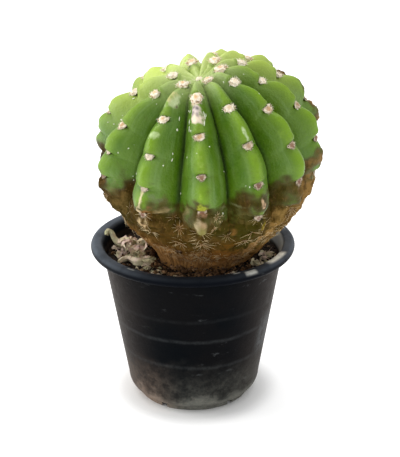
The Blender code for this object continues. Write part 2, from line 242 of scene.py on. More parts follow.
def spun(profile, sides):
    """A bmesh turned from (radius, height) points that start and end on the axis."""
    solid = bmesh.new()
    points = [solid.verts.new((radius, 0, height)) for radius, height in profile]
    edges = [solid.edges.new(pair) for pair in zip(points, points[1:])]
    full = {"cent": (0, 0, 0), "axis": (0, 0, 1), "angle": 2 * math.pi, "use_merge": True}
    bmesh.ops.spin(solid, geom=points + edges, steps=sides, **full)
    bmesh.ops.remove_doubles(solid, verts=solid.verts[:], dist=1e-6)
    return solid


def wall_radius(height):
    """Outer radius of the pot's straight wall."""
    return WALL_FOOT_RADIUS + WALL_TAPER * height


def lower_corner(inset, start, end, steps):
    """The round between the foot and the wall, this far inside the pot's outer face."""
    centre = (wall_radius(CORNER_HEIGHT) - CORNER_RADIUS, CORNER_HEIGHT)
    return arc_points(centre, CORNER_RADIUS - inset, start, end, steps)


def pot_profile():
    """The wall's section, from the foot up the outside, over the rim and down inside."""
    outer_corner = [point for point in lower_corner(0.0, -90, 0, 16) if point[0] > FOOT_RADIUS]
    inner_corner = lower_corner(WALL, 0, -90, 12)
    under_rim = POT_HEIGHT - RIM_DROP
    bead = RIM_DROP / 2
    straight = under_rim - CORNER_HEIGHT
    wall_heights = [CORNER_HEIGHT + straight * n / WALL_RINGS for n in range(1, WALL_RINGS + 1)]
    inner_top = wall_radius(under_rim) - WALL
    floor_top = FOOT_HEIGHT + WALL
    return [
        (0.0, 0.0),
        (FOOT_RADIUS - BEVEL, 0.0),
        (FOOT_RADIUS, BEVEL),
        (FOOT_RADIUS, outer_corner[0][1]),
        *outer_corner,
        *((wall_radius(height), height) for height in wall_heights),
        (wall_radius(under_rim) + BEVEL, POT_HEIGHT - 1.7 * WALL),
        (RIM_RADIUS - bead, POT_HEIGHT - WALL),
        (RIM_RADIUS - WALL, POT_HEIGHT - bead),
        (RIM_RADIUS - WALL, under_rim + BEVEL),
        *arc_points((RIM_RADIUS - bead, POT_HEIGHT - bead), bead, -50, 90, 16),
        (RIM_INNER_RADIUS + 3 * BEVEL, POT_HEIGHT - 0.5 * BEVEL),
        (RIM_INNER_RADIUS + BEVEL, POT_HEIGHT - 0.0005),
        (RIM_INNER_RADIUS, POT_HEIGHT - 0.0010),
        (inner_top + 0.0006, POT_HEIGHT - 0.0030),
        (inner_top, under_rim - 0.0010),
        *inner_corner[:-1],
        (inner_corner[-1][0], floor_top),
        (0.0, floor_top),
    ]


def pot_plastic():
    """Black plastic: dusty foot, scratches, rim smears, painted reflections and painted light."""
    finish, shader, place = new_finish("black_pot_plastic", specular=0.03)
    across, deep, height = parts_of(place)
    turn = maths("ARCTAN2", across, times(deep, -1.0))
    sideways = maths("ABSOLUTE", turn)
    reach = length_of(stretched(place, 1, 1, 0))
    broad = patches(place, 26, 4)
    blotch = patches(place, 95, 4)
    fine = patches(place, 240, 5, 0.7)
    speck = patches(place, 900, 2, 0.6)
    # Painted reflections: the wall turns brownish towards its left and right sides, away from the front.
    body = coated(
        screen(1, 4, 8),
        (broad, 0.35, 0.65, (8, 8, 10)),
        (sideways, math.radians(25), math.radians(85), 0.0, 0.75, (54, 46, 41)),
    )
    # Painted reflection: the rim's top is lighter, most at its left and right.
    painted_lip_reflection = times(
        stepped(height, 0.0940, 0.0966),
        stepped(sideways, math.radians(10), math.radians(80), 0.12, 1.0),
        stepped(blotch, 0.30, 0.60, 0.6, 1.0),
    )
    rim = coated(screen(3, 6, 13), (painted_lip_reflection, (84, 90, 98)))
    # Scuffs run round the wall, clearest in the rings; one lighter patch lies on the right.
    flat = {"X": turn, "Y": reach, "Z": times(height, 60.0)}
    round_wall = node(turn, "ShaderNodeCombineXYZ", flat).outputs[0]
    rubbed = stepped(patches(round_wall, 5, 6, 0.65), 0.60, 0.78)
    wear = times(rubbed, stepped(broad, 0.42, 0.60, 0.0, 0.35))
    wavy = maths("ADD", height, times(broad, RING_WAVER))
    for ring, strength in SCRATCH_RINGS:
        line = stepped(away(wavy, ring + RING_WAVER / 2), 0.0001, 0.0019, strength, 0.0)
        wear = largest(wear, times(line, stepped(fine, 0.30, 0.66, 0.25, 1.0)))
    patch = times(
        stepped(away(turn, PATCH_ANGLE), math.radians(4), math.radians(15), 0.42, 0.0),
        stepped(away(height, PATCH_HEIGHT), 0.006, 0.016, 1.0, 0.0),
        stepped(fine, 0.36, 0.60),
    )
    # Dust: pinkish brown on the left, greyer towards the right, up to a ragged edge.
    ragged = maths("ADD", height, times(blotch, -0.022))
    dust = times(stepped(ragged, -0.008, 0.006, 0.90, 0.0), stepped(fine, 0.25, 0.62, 0.60, 1.0))
    thin = times(stepped(ragged, 0.0, 0.028, 0.26, 0.0), stepped(fine, 0.30, 0.70, 0.25, 1.0))
    dusty = largest(dust, thin)
    earth = coated(
        screen(146, 127, 113),
        (across, -0.026, -0.004, (112, 113, 106)),
        (speck, 0.45, 0.70, 0.0, 0.6, (134, 128, 118)),
    )
    # Painted light: the inner wall is lighter on the right, where light falls on it. Less the taper, it
    # lies nearer the axis than the outer wall at every height.
    inwards = maths("SUBTRACT", reach, times(height, WALL_TAPER))
    greyer = times(
        stepped(inwards, WALL_FOOT_RADIUS - 0.0011, WALL_FOOT_RADIUS - 0.0002, 1.0, 0.0),
        stepped(turn, 0.9, 1.4),
        stepped(turn, 2.2, 3.0, 1.0, 0.0),
        stepped(height, 0.086, 0.090),
    )
    smears = []
    for angle, half_angle, radius, half_width, strength in RIM_SMEARS:
        ends = [math.radians(0.55 * half_angle), math.radians(half_angle)]
        along = stepped(away(turn, math.radians(angle)), *ends, strength, 0.0)
        outwards = stepped(away(reach, radius), 0.5 * half_width, half_width, 1.0, 0.0)
        smears.append(times(along, outwards, stepped(height, 0.0936, 0.0950)))
    smeared = times(largest(*smears), stepped(fine, 0.32, 0.56, 0.60, 1.0))
    body = coated(
        body,
        (height, 0.0895, 0.0920, rim),
        (largest(wear, patch), (104, 108, 110)),
        (dusty, earth),
        (greyer, (216, 228, 234)),
        (smeared, (255, 255, 244)),
    )
    feed(shader, "Base Color", body)
    satin = stepped(fine, 0.3, 0.7, 0.40, 0.52)
    feed(shader, "Roughness", largest(satin, times(largest(dusty, smeared), 0.9)))
    bumped(shader, maths("ADD", fine, times(rubbed, 0.5)), 0.0002)
    return finish


def make_pot():
    pot = spun(pot_profile(), POT_SIDES)
    cutters = bmesh.new()
    for n in range(DRAIN_COUNT):
        place = compass(DRAIN_TURN + 2 * math.pi * n / DRAIN_COUNT) * DRAIN_CIRCLE
        place.z = FOOT_HEIGHT
        bmesh.ops.create_cone(
            cutters,
            cap_ends=True,
            segments=32,
            radius1=DRAIN_RADIUS,
            radius2=DRAIN_RADIUS,
            depth=4 * FOOT_HEIGHT,
            matrix=Matrix.Translation(place),
        )
    drains = new_object("drain_cutters", as_mesh("drain_cutters", cutters))
    piece = add_piece("nursery_pot", pot, pot_plastic(), "pot")
    cut = piece.modifiers.new("drains", "BOOLEAN")
    cut.operation = "DIFFERENCE"
    cut.object = drains
    shape = bpy.data.meshes.new_from_object(piece.evaluated_get(bpy.context.evaluated_depsgraph_get()))
    piece.modifiers.clear()
    piece.data = shape
    shape.shade_smooth()
    shape.set_sharp_from_angle(angle=math.radians(40))
    bpy.data.objects.remove(drains, do_unlink=True)


make_pot()

# The soil. Dark potting mix that fills the pot to a centimetre below the rim. Its top is
# lumpy, with loose crumbs of peat and bark and a few grey bits of pumice.
SOIL_LEVEL = 0.087
SOIL_LUMP = 0.0011
SOIL_LUMP_SIZE = 0.009
SOIL_SIDES = 168
SOIL_RINGS = 56
GAP = 0.0003
CRUMBS = 1500
STEM_FOOT = (0.0005, -0.0050)
STEM_FOOT_RADIUS = 0.0240
BANKED_CRUMBS = 900
BANK_WIDTH = 0.012
BANK_HEIGHT = 0.0050
CRUMB_SIZE = 0.00045
CRUMB_GROWTH = 0.0014

# The earth's colours by shade: peat, bark and a few grey bits.
EARTH_COLOURS = [
    (0.0, (26, 19, 15)),
    (0.35, (54, 40, 30)),
    (0.60, (98, 70, 44)),
    (0.82, (142, 110, 76)),
    (1.0, (176, 168, 152)),
]


def soil_lumps(x, y):
    """The solid's own lumps, from about -1.4 to 1.4."""
    lumps = noise.noise(Vector((x, y, 0)) / SOIL_LUMP_SIZE)
    return lumps + 0.4 * noise.noise(Vector((x, y, 0.05)) / (0.45 * SOIL_LUMP_SIZE))


def soil_height(x, y):
    """The lumpy top, as in the solid, with finer grains."""
    fine = noise.noise(Vector((x, y, 0.09)) / 0.0016)
    return SOIL_LEVEL + SOIL_LUMP * (soil_lumps(x, y) + 0.30 * fine)


def earth_finish():
    """Crumbly earth whose colour runs through the palette by each crumb's own shade."""
    finish, shader, place = new_finish("potting_soil", roughness=0.95, specular=0.2)
    grain = patches(place, 700, 4, 0.7)
    shade = uneven(attribute(shader, "shade")["Fac"], grain, 0.3)
    ramp = node(shader, "ShaderNodeValToRGB", {"Fac": shade})
    stops = ramp.color_ramp.elements
    while len(stops) < len(EARTH_COLOURS):
        stops.new(0.5)
    for stop, (where, paint) in zip(stops, EARTH_COLOURS):
        stop.position = where
        stop.color = screen(*paint)
    feed(shader, "Base Color", coated(screen(14, 10, 8), (grain, 0.30, 0.55, ramp.outputs["Color"])))
    bumped(shader, grain, 0.0006)
    return finish


def make_crumbs(edge, finish):
    """Loose crumbs all over the soil's top, and more banked up against the stem's foot."""
    draw = random.Random(3)
    crumbs = bmesh.new()
    crumbs.verts.layers.float.new("shade")
    lump = bpy.data.meshes.new("lump")
    foot = Vector((*STEM_FOOT, 0))
    for n in range(CRUMBS + BANKED_CRUMBS):
        banked = n >= CRUMBS
        outwards = compass(draw.uniform(0, 2 * math.pi))
        reach = math.sqrt(draw.uniform(0.18, 1.0)) * (edge - 0.0012)
        share = draw.random() ** 1.5
        spot = foot + (STEM_FOOT_RADIUS + BANK_WIDTH * share) * outwards if banked else reach * outwards
        size = CRUMB_SIZE + CRUMB_GROWTH * draw.random() ** 3
        if (spot - foot).length < STEM_FOOT_RADIUS or spot.length + size > edge:
            continue
        grain = bmesh.new()
        bmesh.ops.create_icosphere(grain, subdivisions=2 if size > 0.0010 else 1, radius=size)
        seed = Vector((n * 1.7, n * 0.3, 0))
        for point in grain.verts:
            point.co *= 1 + 0.55 * noise.noise(point.co / (0.9 * size) + seed)
        spot.z = soil_height(spot.x, spot.y) + 0.25 * size
        spot.z += BANK_HEIGHT * (1 - share) * draw.random() if banked else 0.0
        squash = Matrix.Diagonal((1.0, draw.uniform(0.5, 1.0), draw.uniform(0.45, 0.9), 1.0))
        spin = Matrix.Rotation(draw.uniform(0, 6.28), 4, "Z")
        tilt = Matrix.Rotation(draw.uniform(-0.5, 0.5), 4, "X")
        move = Matrix.Translation(spot) @ (spin @ tilt) @ squash
        bmesh.ops.transform(grain, matrix=move, verts=grain.verts[:])
        layer = grain.verts.layers.float.new("shade")
        tone = draw.random() ** 2.2 if size > 0.0006 else 0.5 * draw.random()
        tone = draw.uniform(0.40, 0.86) if banked else tone
        for point in grain.verts:
            point[layer] = tone
        grain.to_mesh(lump)
        grain.free()
        crumbs.from_mesh(lump)
    bpy.data.meshes.remove(lump)
    add_piece("soil_crumbs", crumbs, finish, sharp=50)


def make_soil():
    corner = lower_corner(WALL + GAP, -90, 0, 8)
    edge = wall_radius(SOIL_LEVEL) - WALL - GAP
    top = [(edge * (SOIL_RINGS - n) / SOIL_RINGS, SOIL_LEVEL) for n in range(SOIL_RINGS + 1)]
    soil = spun([(0.0, FOOT_HEIGHT + WALL + GAP), *corner, *top], SOIL_SIDES)
    shade = soil.verts.layers.float.new("shade")
    for point in soil.verts:
        point[shade] = 0.20
        if point.co.z > SOIL_LEVEL - GAP and point.co.xy.length < edge - GAP:
            point.co.z = soil_height(point.co.x, point.co.y)
            point[shade] = 0.22 + 0.25 * noise.noise(point.co / 0.006)
    finish = earth_finish()
    add_piece("potting_soil", soil, finish, "soil", sharp=180)
    make_crumbs(edge, finish)


make_soil()

# The stem. One globular, water-filled body of twelve deep ribs. Each crest is scalloped,
# with an areole in every notch. The waxy skin is green above and corky and brown low down,
# where it is old, wrinkled and cracked. It stands in the soil, held by nothing but that.
#
# Its centre line goes through the middle, leans by so much in x and y for each metre up, and
# bends by so much for each metre squared, more below the middle than above it.
MIDDLE_HEIGHT = 0.1479
MIDDLE = (0.0100, -0.0088)
LEAN = (-0.009, -0.2755)
BEND = (-2.06, 0.79)
FOOT_BEND = (0.0, -4.3)

# The crests' outline from the crown to the foot: radius, and height from the middle.
OUTLINE = [
    (0.0, 0.0515),
    (0.0070, 0.0548),
    (0.0150, 0.0576),
    (0.0240, 0.0570),
    (0.0340, 0.0526),
    (0.0465, 0.0450),
    (0.0580, 0.0335),
    (0.0648, 0.0205),
    (0.0668, 0.0080),
    (0.0645, -0.0040),
    (0.0585, -0.0160),
    (0.0500, -0.0260),
    (0.0425, -0.0350),
    (0.0358, -0.0450),
    (0.0284, -0.0550),
    (0.0237, -0.0620),
    (0.0184, -0.0720),
    (0.0138, -0.0820),
    (0.0078, -0.0880),
    (0.0, -0.0900),
]

# Where one side is fuller or slimmer: arc length, half length, side (1 is right), and by how
# much.
SIDE_SWELLS = [
    (0.050, 0.020, -1, 0.0040),
    (0.130, 0.016, -1, 0.0045),
    (0.156, 0.016, -1, 0.0088),
    (0.108, 0.022, 1, -0.0030),
]

# The ribs crowd together towards the back. They fade out, and so do their notches, between
# two arc lengths each.
RIBS = 12
FRONT_RIB = math.radians(-4.5)
RIB_CROWDING = math.radians(9)
RIB_DEPTH = 0.0175
RIB_DEPTH_BY_RADIUS = 0.36
RIB_ROUNDNESS = 1.5
RIB_FADE = (0.088, 0.132)
NOTCH_FADE = (0.088, 0.138)
COLUMNS_PER_RIB = 32
ROWS_ABOVE_SOIL = 234
ROWS_IN_SOIL = 8
ARC_AT_SOIL = 0.1730
AREOLE_PITCH = 0.0272
AREOLE_TIGHTENING = 0.00105
AREOLES_PER_RIB = 7
NOTCH = 0.0055
SWELL_SKEW = 1.3
SWELL_FULLNESS = 0.7

# The skin's patterns count arc length in this unit.
GRAIN_LENGTH = 0.05


def smooth_line(points, steps):
    """Points on a Catmull-Rom curve through the given ones, ends included."""
    points = [Vector(point) for point in points]
    ends = [2 * points[0] - points[1], *points, 2 * points[-1] - points[-2]]
    line = []
    for a, b, c, d in zip(ends, ends[1:], ends[2:], ends[3:]):
        for step in range(steps):
            t = step / steps
            cubic = (3 * b - a - 3 * c + d) * t * t * t
            line.append(0.5 * (2 * b + (c - a) * t + (2 * a - 5 * b + 4 * c - d) * t * t + cubic))
    line.append(points[-1])
    return line


def outline_by_arc():
    """The crest's outline from crown to foot as (arc length, radius, height)."""
    line = smooth_line([(radius, height, 0) for radius, height in OUTLINE], 10)
    total = 0.0
    table = [(0.0, line[0].x, line[0].y)]
    for before, after in zip(line, line[1:]):
        total += (after - before).length
        table.append((total, max(0.0, after.x), after.y))
    return table


CREST = outline_by_arc()
CREST_ARCS = [row[0] for row in CREST]
ARC_TOTAL = CREST_ARCS[-1]


def crest_at(arc):
    """Radius and height on the crest's outline, and its outward direction there."""
    arc = min(max(arc, 0.0), ARC_TOTAL)
    after = min(max(bisect.bisect_left(CREST_ARCS, arc), 1), len(CREST) - 1)
    (a, r_a, h_a), (b, r_b, h_b) = CREST[after - 1], CREST[after]
    t = (arc - a) / (b - a)
    along = Vector((r_b - r_a, h_b - h_a)).normalized()
    return r_a + (r_b - r_a) * t, h_a + (h_b - h_a) * t, Vector((-along.y, along.x))


def smooth_step(low, high, value):
    t = min(max((value - low) / (high - low), 0.0), 1.0)
    return t * t * (3 - 2 * t)


def rib_direction(rib):
    """Angle from the front of a crest (whole numbers) or a groove (halves)."""
    even = 2 * math.pi * rib / RIBS
    return FRONT_RIB + even - RIB_CROWDING * (1 - math.cos(even))


def areole_step(rib, number):
    """Steps from the crown to an areole; every other rib's sit half a step higher."""
    return number - 0.5 * (rib % 2)


def areole_arc(rib, number):
    """Arc length of an areole from the crown."""
    step = areole_step(rib, number)
    return AREOLE_PITCH * step - AREOLE_TIGHTENING * step * step


AREOLE_MARKS = [
    [0.0, *(areole_arc(rib, number) for number in range(1, AREOLES_PER_RIB + 2))]
    for rib in range(RIBS)
]


def swelling(rib, arc):
    """How far a crest swells here, from 0 in an areole's notch to 1 midway to the next."""
    marks = AREOLE_MARKS[rib % RIBS]
    after = min(max(bisect.bisect_right(marks, arc), 1), len(marks) - 1)
    u = (arc - marks[after - 1]) / (marks[after] - marks[after - 1])
    return max(0.0, math.sin(math.pi * min(max(u, 0.0), 1.0) ** SWELL_SKEW)) ** SWELL_FULLNESS


def frame_at(height):
    """The bent centre line's point at this height from the middle, and its three axes."""
    point = Vector((*MIDDLE, MIDDLE_HEIGHT + height))
    up = Vector((*LEAN, 1.0))
    below = min(height, 0.0)
    for axis in (0, 1):
        point[axis] += LEAN[axis] * height + BEND[axis] * height**2 + FOOT_BEND[axis] * below**2
        up[axis] += 2 * (BEND[axis] * height + FOOT_BEND[axis] * below)
    up.normalize()
    right = Vector((0, 1, 0)).cross(up).normalized()
    return point, right, up.cross(right), up


def side_swell(arc, sideways):
    """How much fuller the stem is here, by how far this side faces right (1) or left (-1)."""
    return sum(
        amount * max(0.0, side * sideways) * math.exp(-(((arc - where) / length) ** 2))
        for where, length, side, amount in SIDE_SWELLS
    )


def stem_point(arc, rib):
    """A point of the stem's skin: whole ribs are crests, halves are grooves."""
    radius, height, outward = crest_at(arc)
    nearest = round(rib)
    across = 2 * abs(rib - nearest)
    depth = min(RIB_DEPTH, RIB_DEPTH_BY_RADIUS * radius) * (1 - smooth_step(*RIB_FADE, arc))
    depth *= across**RIB_ROUNDNESS
    notch = NOTCH * min(1.0, radius / 0.03) * (1 - smooth_step(*NOTCH_FADE, arc))
    notch *= (1 - swelling(nearest, arc)) * (1 - across) ** 1.3
    radius -= outward.x * (depth + notch)
    height -= outward.y * (depth + notch)
    centre, right, back, up = frame_at(height)
    angle = rib_direction(rib)
    radius = max(radius + side_swell(arc, math.sin(angle)), 0.0)
    return centre + radius * (math.sin(angle) * right - math.cos(angle) * back)


def stem_frame(arc, rib):
    """A crest point with its directions down the rib, across it and outwards."""
    step = 0.002
    point = stem_point(arc, rib)
    down = (stem_point(arc + step, rib) - stem_point(arc - step, rib)).normalized()
    across = (stem_point(arc, rib + 0.05) - stem_point(arc, rib - 0.05)).normalized()
    return point, down, across, down.cross(across).normalized()


def row_arc(row):
    """Arc length of a row of the stem's grid, closer together above the soil."""
    if row <= ROWS_ABOVE_SOIL:
        return ARC_AT_SOIL * row / ROWS_ABOVE_SOIL
    return ARC_AT_SOIL + (ARC_TOTAL - ARC_AT_SOIL) * (row - ROWS_ABOVE_SOIL) / ROWS_IN_SOIL


# Where the skin turns corky, as arc length down the ribs, and how much higher that is on
# the stem's right-hand back, whose lower half is all brown.
CORK_ARC = 0.0985
CORK_RISE = 0.028
CORK_BLEND = 0.0120
BACK_RIGHT = math.radians(118)


def corkiness(place, angle, arc, across):
    """0 on green skin, 1 on corky skin, with a ragged border that climbs the crests."""
    back_right = smooth_step(0.86, 1.0, math.cos(angle - BACK_RIGHT))
    edge = CORK_ARC - CORK_RISE * back_right - 0.006 * (1 - across)
    ragged = 0.016 * noise.noise(place / 0.014) + 0.007 * noise.noise(place / 0.0045)
    return smooth_step(-CORK_BLEND, CORK_BLEND, arc - edge + ragged)


# Above each areole the crest bulges into a brow, and the areole itself sits in a pit.
BROW_HEIGHT = 0.0012
BROW_REACH = (0.0026, 0.0014)
PIT_DEPTH = 0.0004
PIT_LENGTH = 0.0016
BROW_HALF_WIDTH = 0.0040
PIT_HALF_WIDTH = 0.0027


def areole_relief(nearest, arc, across, half_rib):
    """Rise of the brow and depth of the pit of the closest areole on this crest."""
    side = across * half_rib
    marks = AREOLE_MARKS[nearest % RIBS][1:]
    brow = max(math.exp(-(((mark - arc - BROW_REACH[0]) / BROW_REACH[1]) ** 2)) for mark in marks)
    pit = max(math.exp(-(((mark - arc) / PIT_LENGTH) ** 2)) for mark in marks)
    return (
        brow * math.exp(-((side / BROW_HALF_WIDTH) ** 2)),
        pit * math.exp(-((side / PIT_HALF_WIDTH) ** 2)),
    )


def skin_relief(place, arc, cork):
    """Fine ups and downs: a soft waviness, and wrinkles and cracks where it is corky."""
    soft = 0.00045 * noise.noise(place / 0.011) + 0.00012 * noise.noise(place / 0.003)
    folds = noise.noise(Vector((place.x / 0.007, place.y / 0.007, place.z / 0.0024)))
    knobs = noise.noise(place / 0.0052)
    cracks = abs(noise.noise(Vector((place.x / 0.0040, place.y / 0.0040, place.z / 0.007))))
    old = 0.00105 * folds + 0.00080 * knobs - 0.00090 * max(0.0, 0.16 - cracks) / 0.16
    old += 0.00035 * noise.noise(place / 0.0016)
    fade = 1 - smooth_step(0.172, 0.180, arc)
    return (soft + cork * old) * fade


# Scars and healed marks, dark spots over the pits in the knob table below, and one painted highlight: arc
# length and rib, half length down the rib, half width, colour and strength. The large ones lie on the front
# rib and on the next one to its left.
SKIN_MARKS = [
    (0.0300, 11.95, 0.0034, 0.0025, (224, 206, 176), 1.0),
    (0.0365, 11.95, 0.0052, 0.0023, (218, 200, 194), 1.0),
    (0.0420, 11.95, 0.0024, 0.0030, (238, 218, 196), 1.0),
    (0.0345, 11.91, 0.0013, 0.0010, (116, 104, 112), 0.9),
    (0.0378, 11.89, 0.0014, 0.0010, (124, 112, 120), 0.8),
    (0.0358, 12.02, 0.0014, 0.0010, (100, 88, 100), 0.9),
    (0.0400, 12.02, 0.0012, 0.0008, (136, 122, 126), 0.7),
    (0.0285, 11.15, 0.0042, 0.0036, (192, 206, 156), 0.75),
    (0.0262, 10.98, 0.0040, 0.0018, (206, 180, 116), 0.7),
    (0.0312, 11.26, 0.0010, 0.0009, (74, 58, 26), 1.0),
    (0.0500, 11.02, 0.0022, 0.0030, (180, 202, 140), 0.75),
    (0.0440, 10.96, 0.0040, 0.0016, (160, 190, 110), 0.55),
    # A painted highlight: a thin white streak along the crest of rib 1.
    (0.0570, 1.00, 0.0038, 0.0009, (208, 224, 182), 0.65),
    (0.0655, 1.86, 0.0050, 0.0026, (132, 164, 42), 0.40),
    (0.0560, 0.00, 0.0040, 0.0014, (146, 170, 74), 0.4),
    (0.0665, 0.00, 0.0060, 0.0014, (150, 176, 76), 0.4),
    (0.0840, 11.98, 0.0050, 0.0016, (146, 178, 56), 0.6),
    (0.0890, 11.98, 0.0030, 0.0028, (168, 170, 52), 0.7),
    (0.0935, 0.00, 0.0020, 0.0030, (150, 110, 84), 0.7),
    (0.0880, 11.00, 0.0070, 0.0010, (222, 208, 164), 0.95),
    (0.1000, 10.99, 0.0080, 0.0010, (214, 192, 152), 0.95),
    (0.1120, 10.97, 0.0090, 0.0011, (202, 178, 136), 0.9),
    (0.1030, 11.06, 0.0110, 0.0005, (206, 184, 140), 0.8),
    (0.1240, 10.93, 0.0080, 0.0016, (158, 130, 92), 0.7),
    (0.0985, 11.08, 0.0034, 0.0026, (142, 92, 38), 0.7),
    (0.0985, 11.30, 0.0016, 0.0040, (176, 154, 112), 0.85),
    (0.0870, 11.16, 0.0022, 0.0030, (118, 138, 92), 0.6),
    (0.0930, 11.26, 0.0060, 0.0070, (84, 80, 30), 0.6),
    (0.1060, 11.15, 0.0050, 0.0060, (100, 76, 36), 0.5),
    (0.1160, 11.60, 0.0060, 0.0028, (122, 88, 44), 0.6),
    (0.1100, 10.30, 0.0090, 0.0080, (104, 84, 44), 0.5),
    (0.1400, 11.30, 0.0130, 0.0110, (80, 56, 16), 0.6),
    (0.0995, 0.00, 0.0036, 0.0034, (140, 126, 80), 0.8),
    (0.1050, 0.00, 0.0050, 0.0027, (128, 122, 62), 0.85),
    (0.0985, 0.03, 0.0022, 0.0016, (186, 156, 122), 0.7),
    (0.1040, 11.96, 0.0045, 0.0005, (96, 96, 40), 0.7),
    (0.1050, 0.05, 0.0045, 0.0005, (160, 154, 104), 0.7),
    (0.0985, 11.94, 0.0040, 0.0012, (190, 170, 140), 0.6),
    (0.1115, 0.00, 0.0012, 0.0034, (34, 24, 8), 0.9),
    (0.1010, 0.26, 0.0050, 0.0040, (116, 120, 72), 0.35),
    (0.0960, 11.72, 0.0040, 0.0028, (132, 114, 76), 0.5),
    (0.0960, 0.62, 0.0008, 0.0045, (150, 150, 108), 0.7),
    (0.0990, 0.72, 0.0030, 0.0032, (122, 120, 70), 0.5),
    (0.0990, 0.38, 0.0050, 0.0040, (80, 100, 40), 0.55),
    (0.0930, 1.05, 0.0040, 0.0018, (214, 180, 142), 0.8),
    (0.0930, 1.05, 0.0015, 0.0008, (58, 30, 24), 1.0),
    (0.1030, 1.08, 0.0012, 0.0022, (34, 24, 12), 1.0),
    (0.1150, 1.22, 0.0045, 0.0014, (150, 132, 40), 0.6),
    (0.1290, 1.35, 0.0013, 0.0016, (24, 18, 10), 0.9),
    (0.1050, 0.74, 0.0008, 0.0050, (134, 114, 68), 0.6),
    (0.1130, 0.80, 0.0140, 0.0080, (54, 50, 4), 0.75),
    (0.1165, 0.60, 0.0028, 0.0018, (122, 86, 42), 0.8),
    (0.1165, 0.54, 0.0050, 0.0006, (44, 30, 12), 0.9),
    (0.1140, 1.70, 0.0080, 0.0050, (140, 112, 62), 0.6),
    (0.1300, 1.54, 0.0100, 0.0040, (154, 120, 68), 0.8),
    (0.1480, 1.56, 0.0110, 0.0036, (158, 120, 74), 0.7),
    (0.1650, 1.60, 0.0060, 0.0036, (168, 126, 86), 0.6),
    (0.1590, 0.78, 0.0090, 0.0100, (136, 88, 34), 0.6),
    (0.1400, 0.70, 0.0070, 0.0080, (88, 62, 14), 0.6),
    (0.1630, 11.40, 0.0020, 0.0022, (30, 18, 10), 1.0),
    (0.1622, 11.40, 0.0009, 0.0008, (200, 174, 152), 0.9),
]


def set_out(rows):
    """Each row's middle and axes on the skin, in half lengths and widths, then its own rest."""
    ready = []
    for arc, rib, length, width, *rest in rows:
        point, down, across, out = stem_frame(arc, rib)
        ready.append((point, down / length, across / width, out, *rest))
    return ready


# A mark reaches no farther than this, is as square as this power makes it, and follows the
# crest, which falls away by this much for each metre squared along it.
MARK_REACH = 0.02
MARK_SQUARENESS = 2.4
CREST_FALL = 20


def mark_at(place, marks):
    """Colour of the marks here, with their strength as its alpha."""
    colour = Vector((0.0, 0.0, 0.0, 0.0))
    for point, down, across, out, paint, strength in marks:
        offset = place - point
        if offset.length_squared > MARK_REACH**2:
            continue
        along, aside = offset.dot(down), offset.dot(across)
        sunk = max(0.0, abs(offset.dot(out)) - CREST_FALL * (along / down.length) ** 2)
        reach = abs(along) ** MARK_SQUARENESS + abs(aside) ** MARK_SQUARENESS
        reach **= 1 / MARK_SQUARENESS
        reach += max(0.0, sunk * across.length - 1.2 * abs(aside) - 0.6)
        reach += 0.50 * noise.noise(place / 0.0028)
        share = strength * (1 - smooth_step(0.45, 1.50, reach))
        if share > 0.0:
            cover = max(colour.w, share)
            colour = colour.lerp(Vector(paint), share if colour.w > 0 else 1.0)
            colour.w = cover
    return colour


# Knobs, holes and pits: arc length and rib, half length, half width, and rise.
KNOBS = [
    (0.0365, 11.95, 0.0060, 0.0026, 0.0004),
    (0.0500, 11.02, 0.0022, 0.0030, 0.0006),
    (0.0985, 11.30, 0.0014, 0.0040, 0.0008),
    (0.1025, 0.00, 0.0058, 0.0030, 0.0015),
    (0.1115, 0.00, 0.0014, 0.0036, -0.0010),
    (0.0930, 1.05, 0.0016, 0.0010, -0.0010),
    (0.1030, 1.08, 0.0012, 0.0022, -0.0009),
    (0.1165, 0.60, 0.0028, 0.0018, 0.0008),
    (0.1290, 1.35, 0.0014, 0.0016, -0.0009),
    (0.1630, 11.40, 0.0020, 0.0022, -0.0012),
]


def knob_rise(place, knobs):
    """How far the knobs lift the skin here, or the pits sink it."""
    total = 0.0
    for point, down, across, _, rise in knobs:
        offset = place - point
        if offset.length_squared < 0.0002:
            total += rise * math.exp(-(offset.dot(down) ** 2) - offset.dot(across) ** 2)
    return total


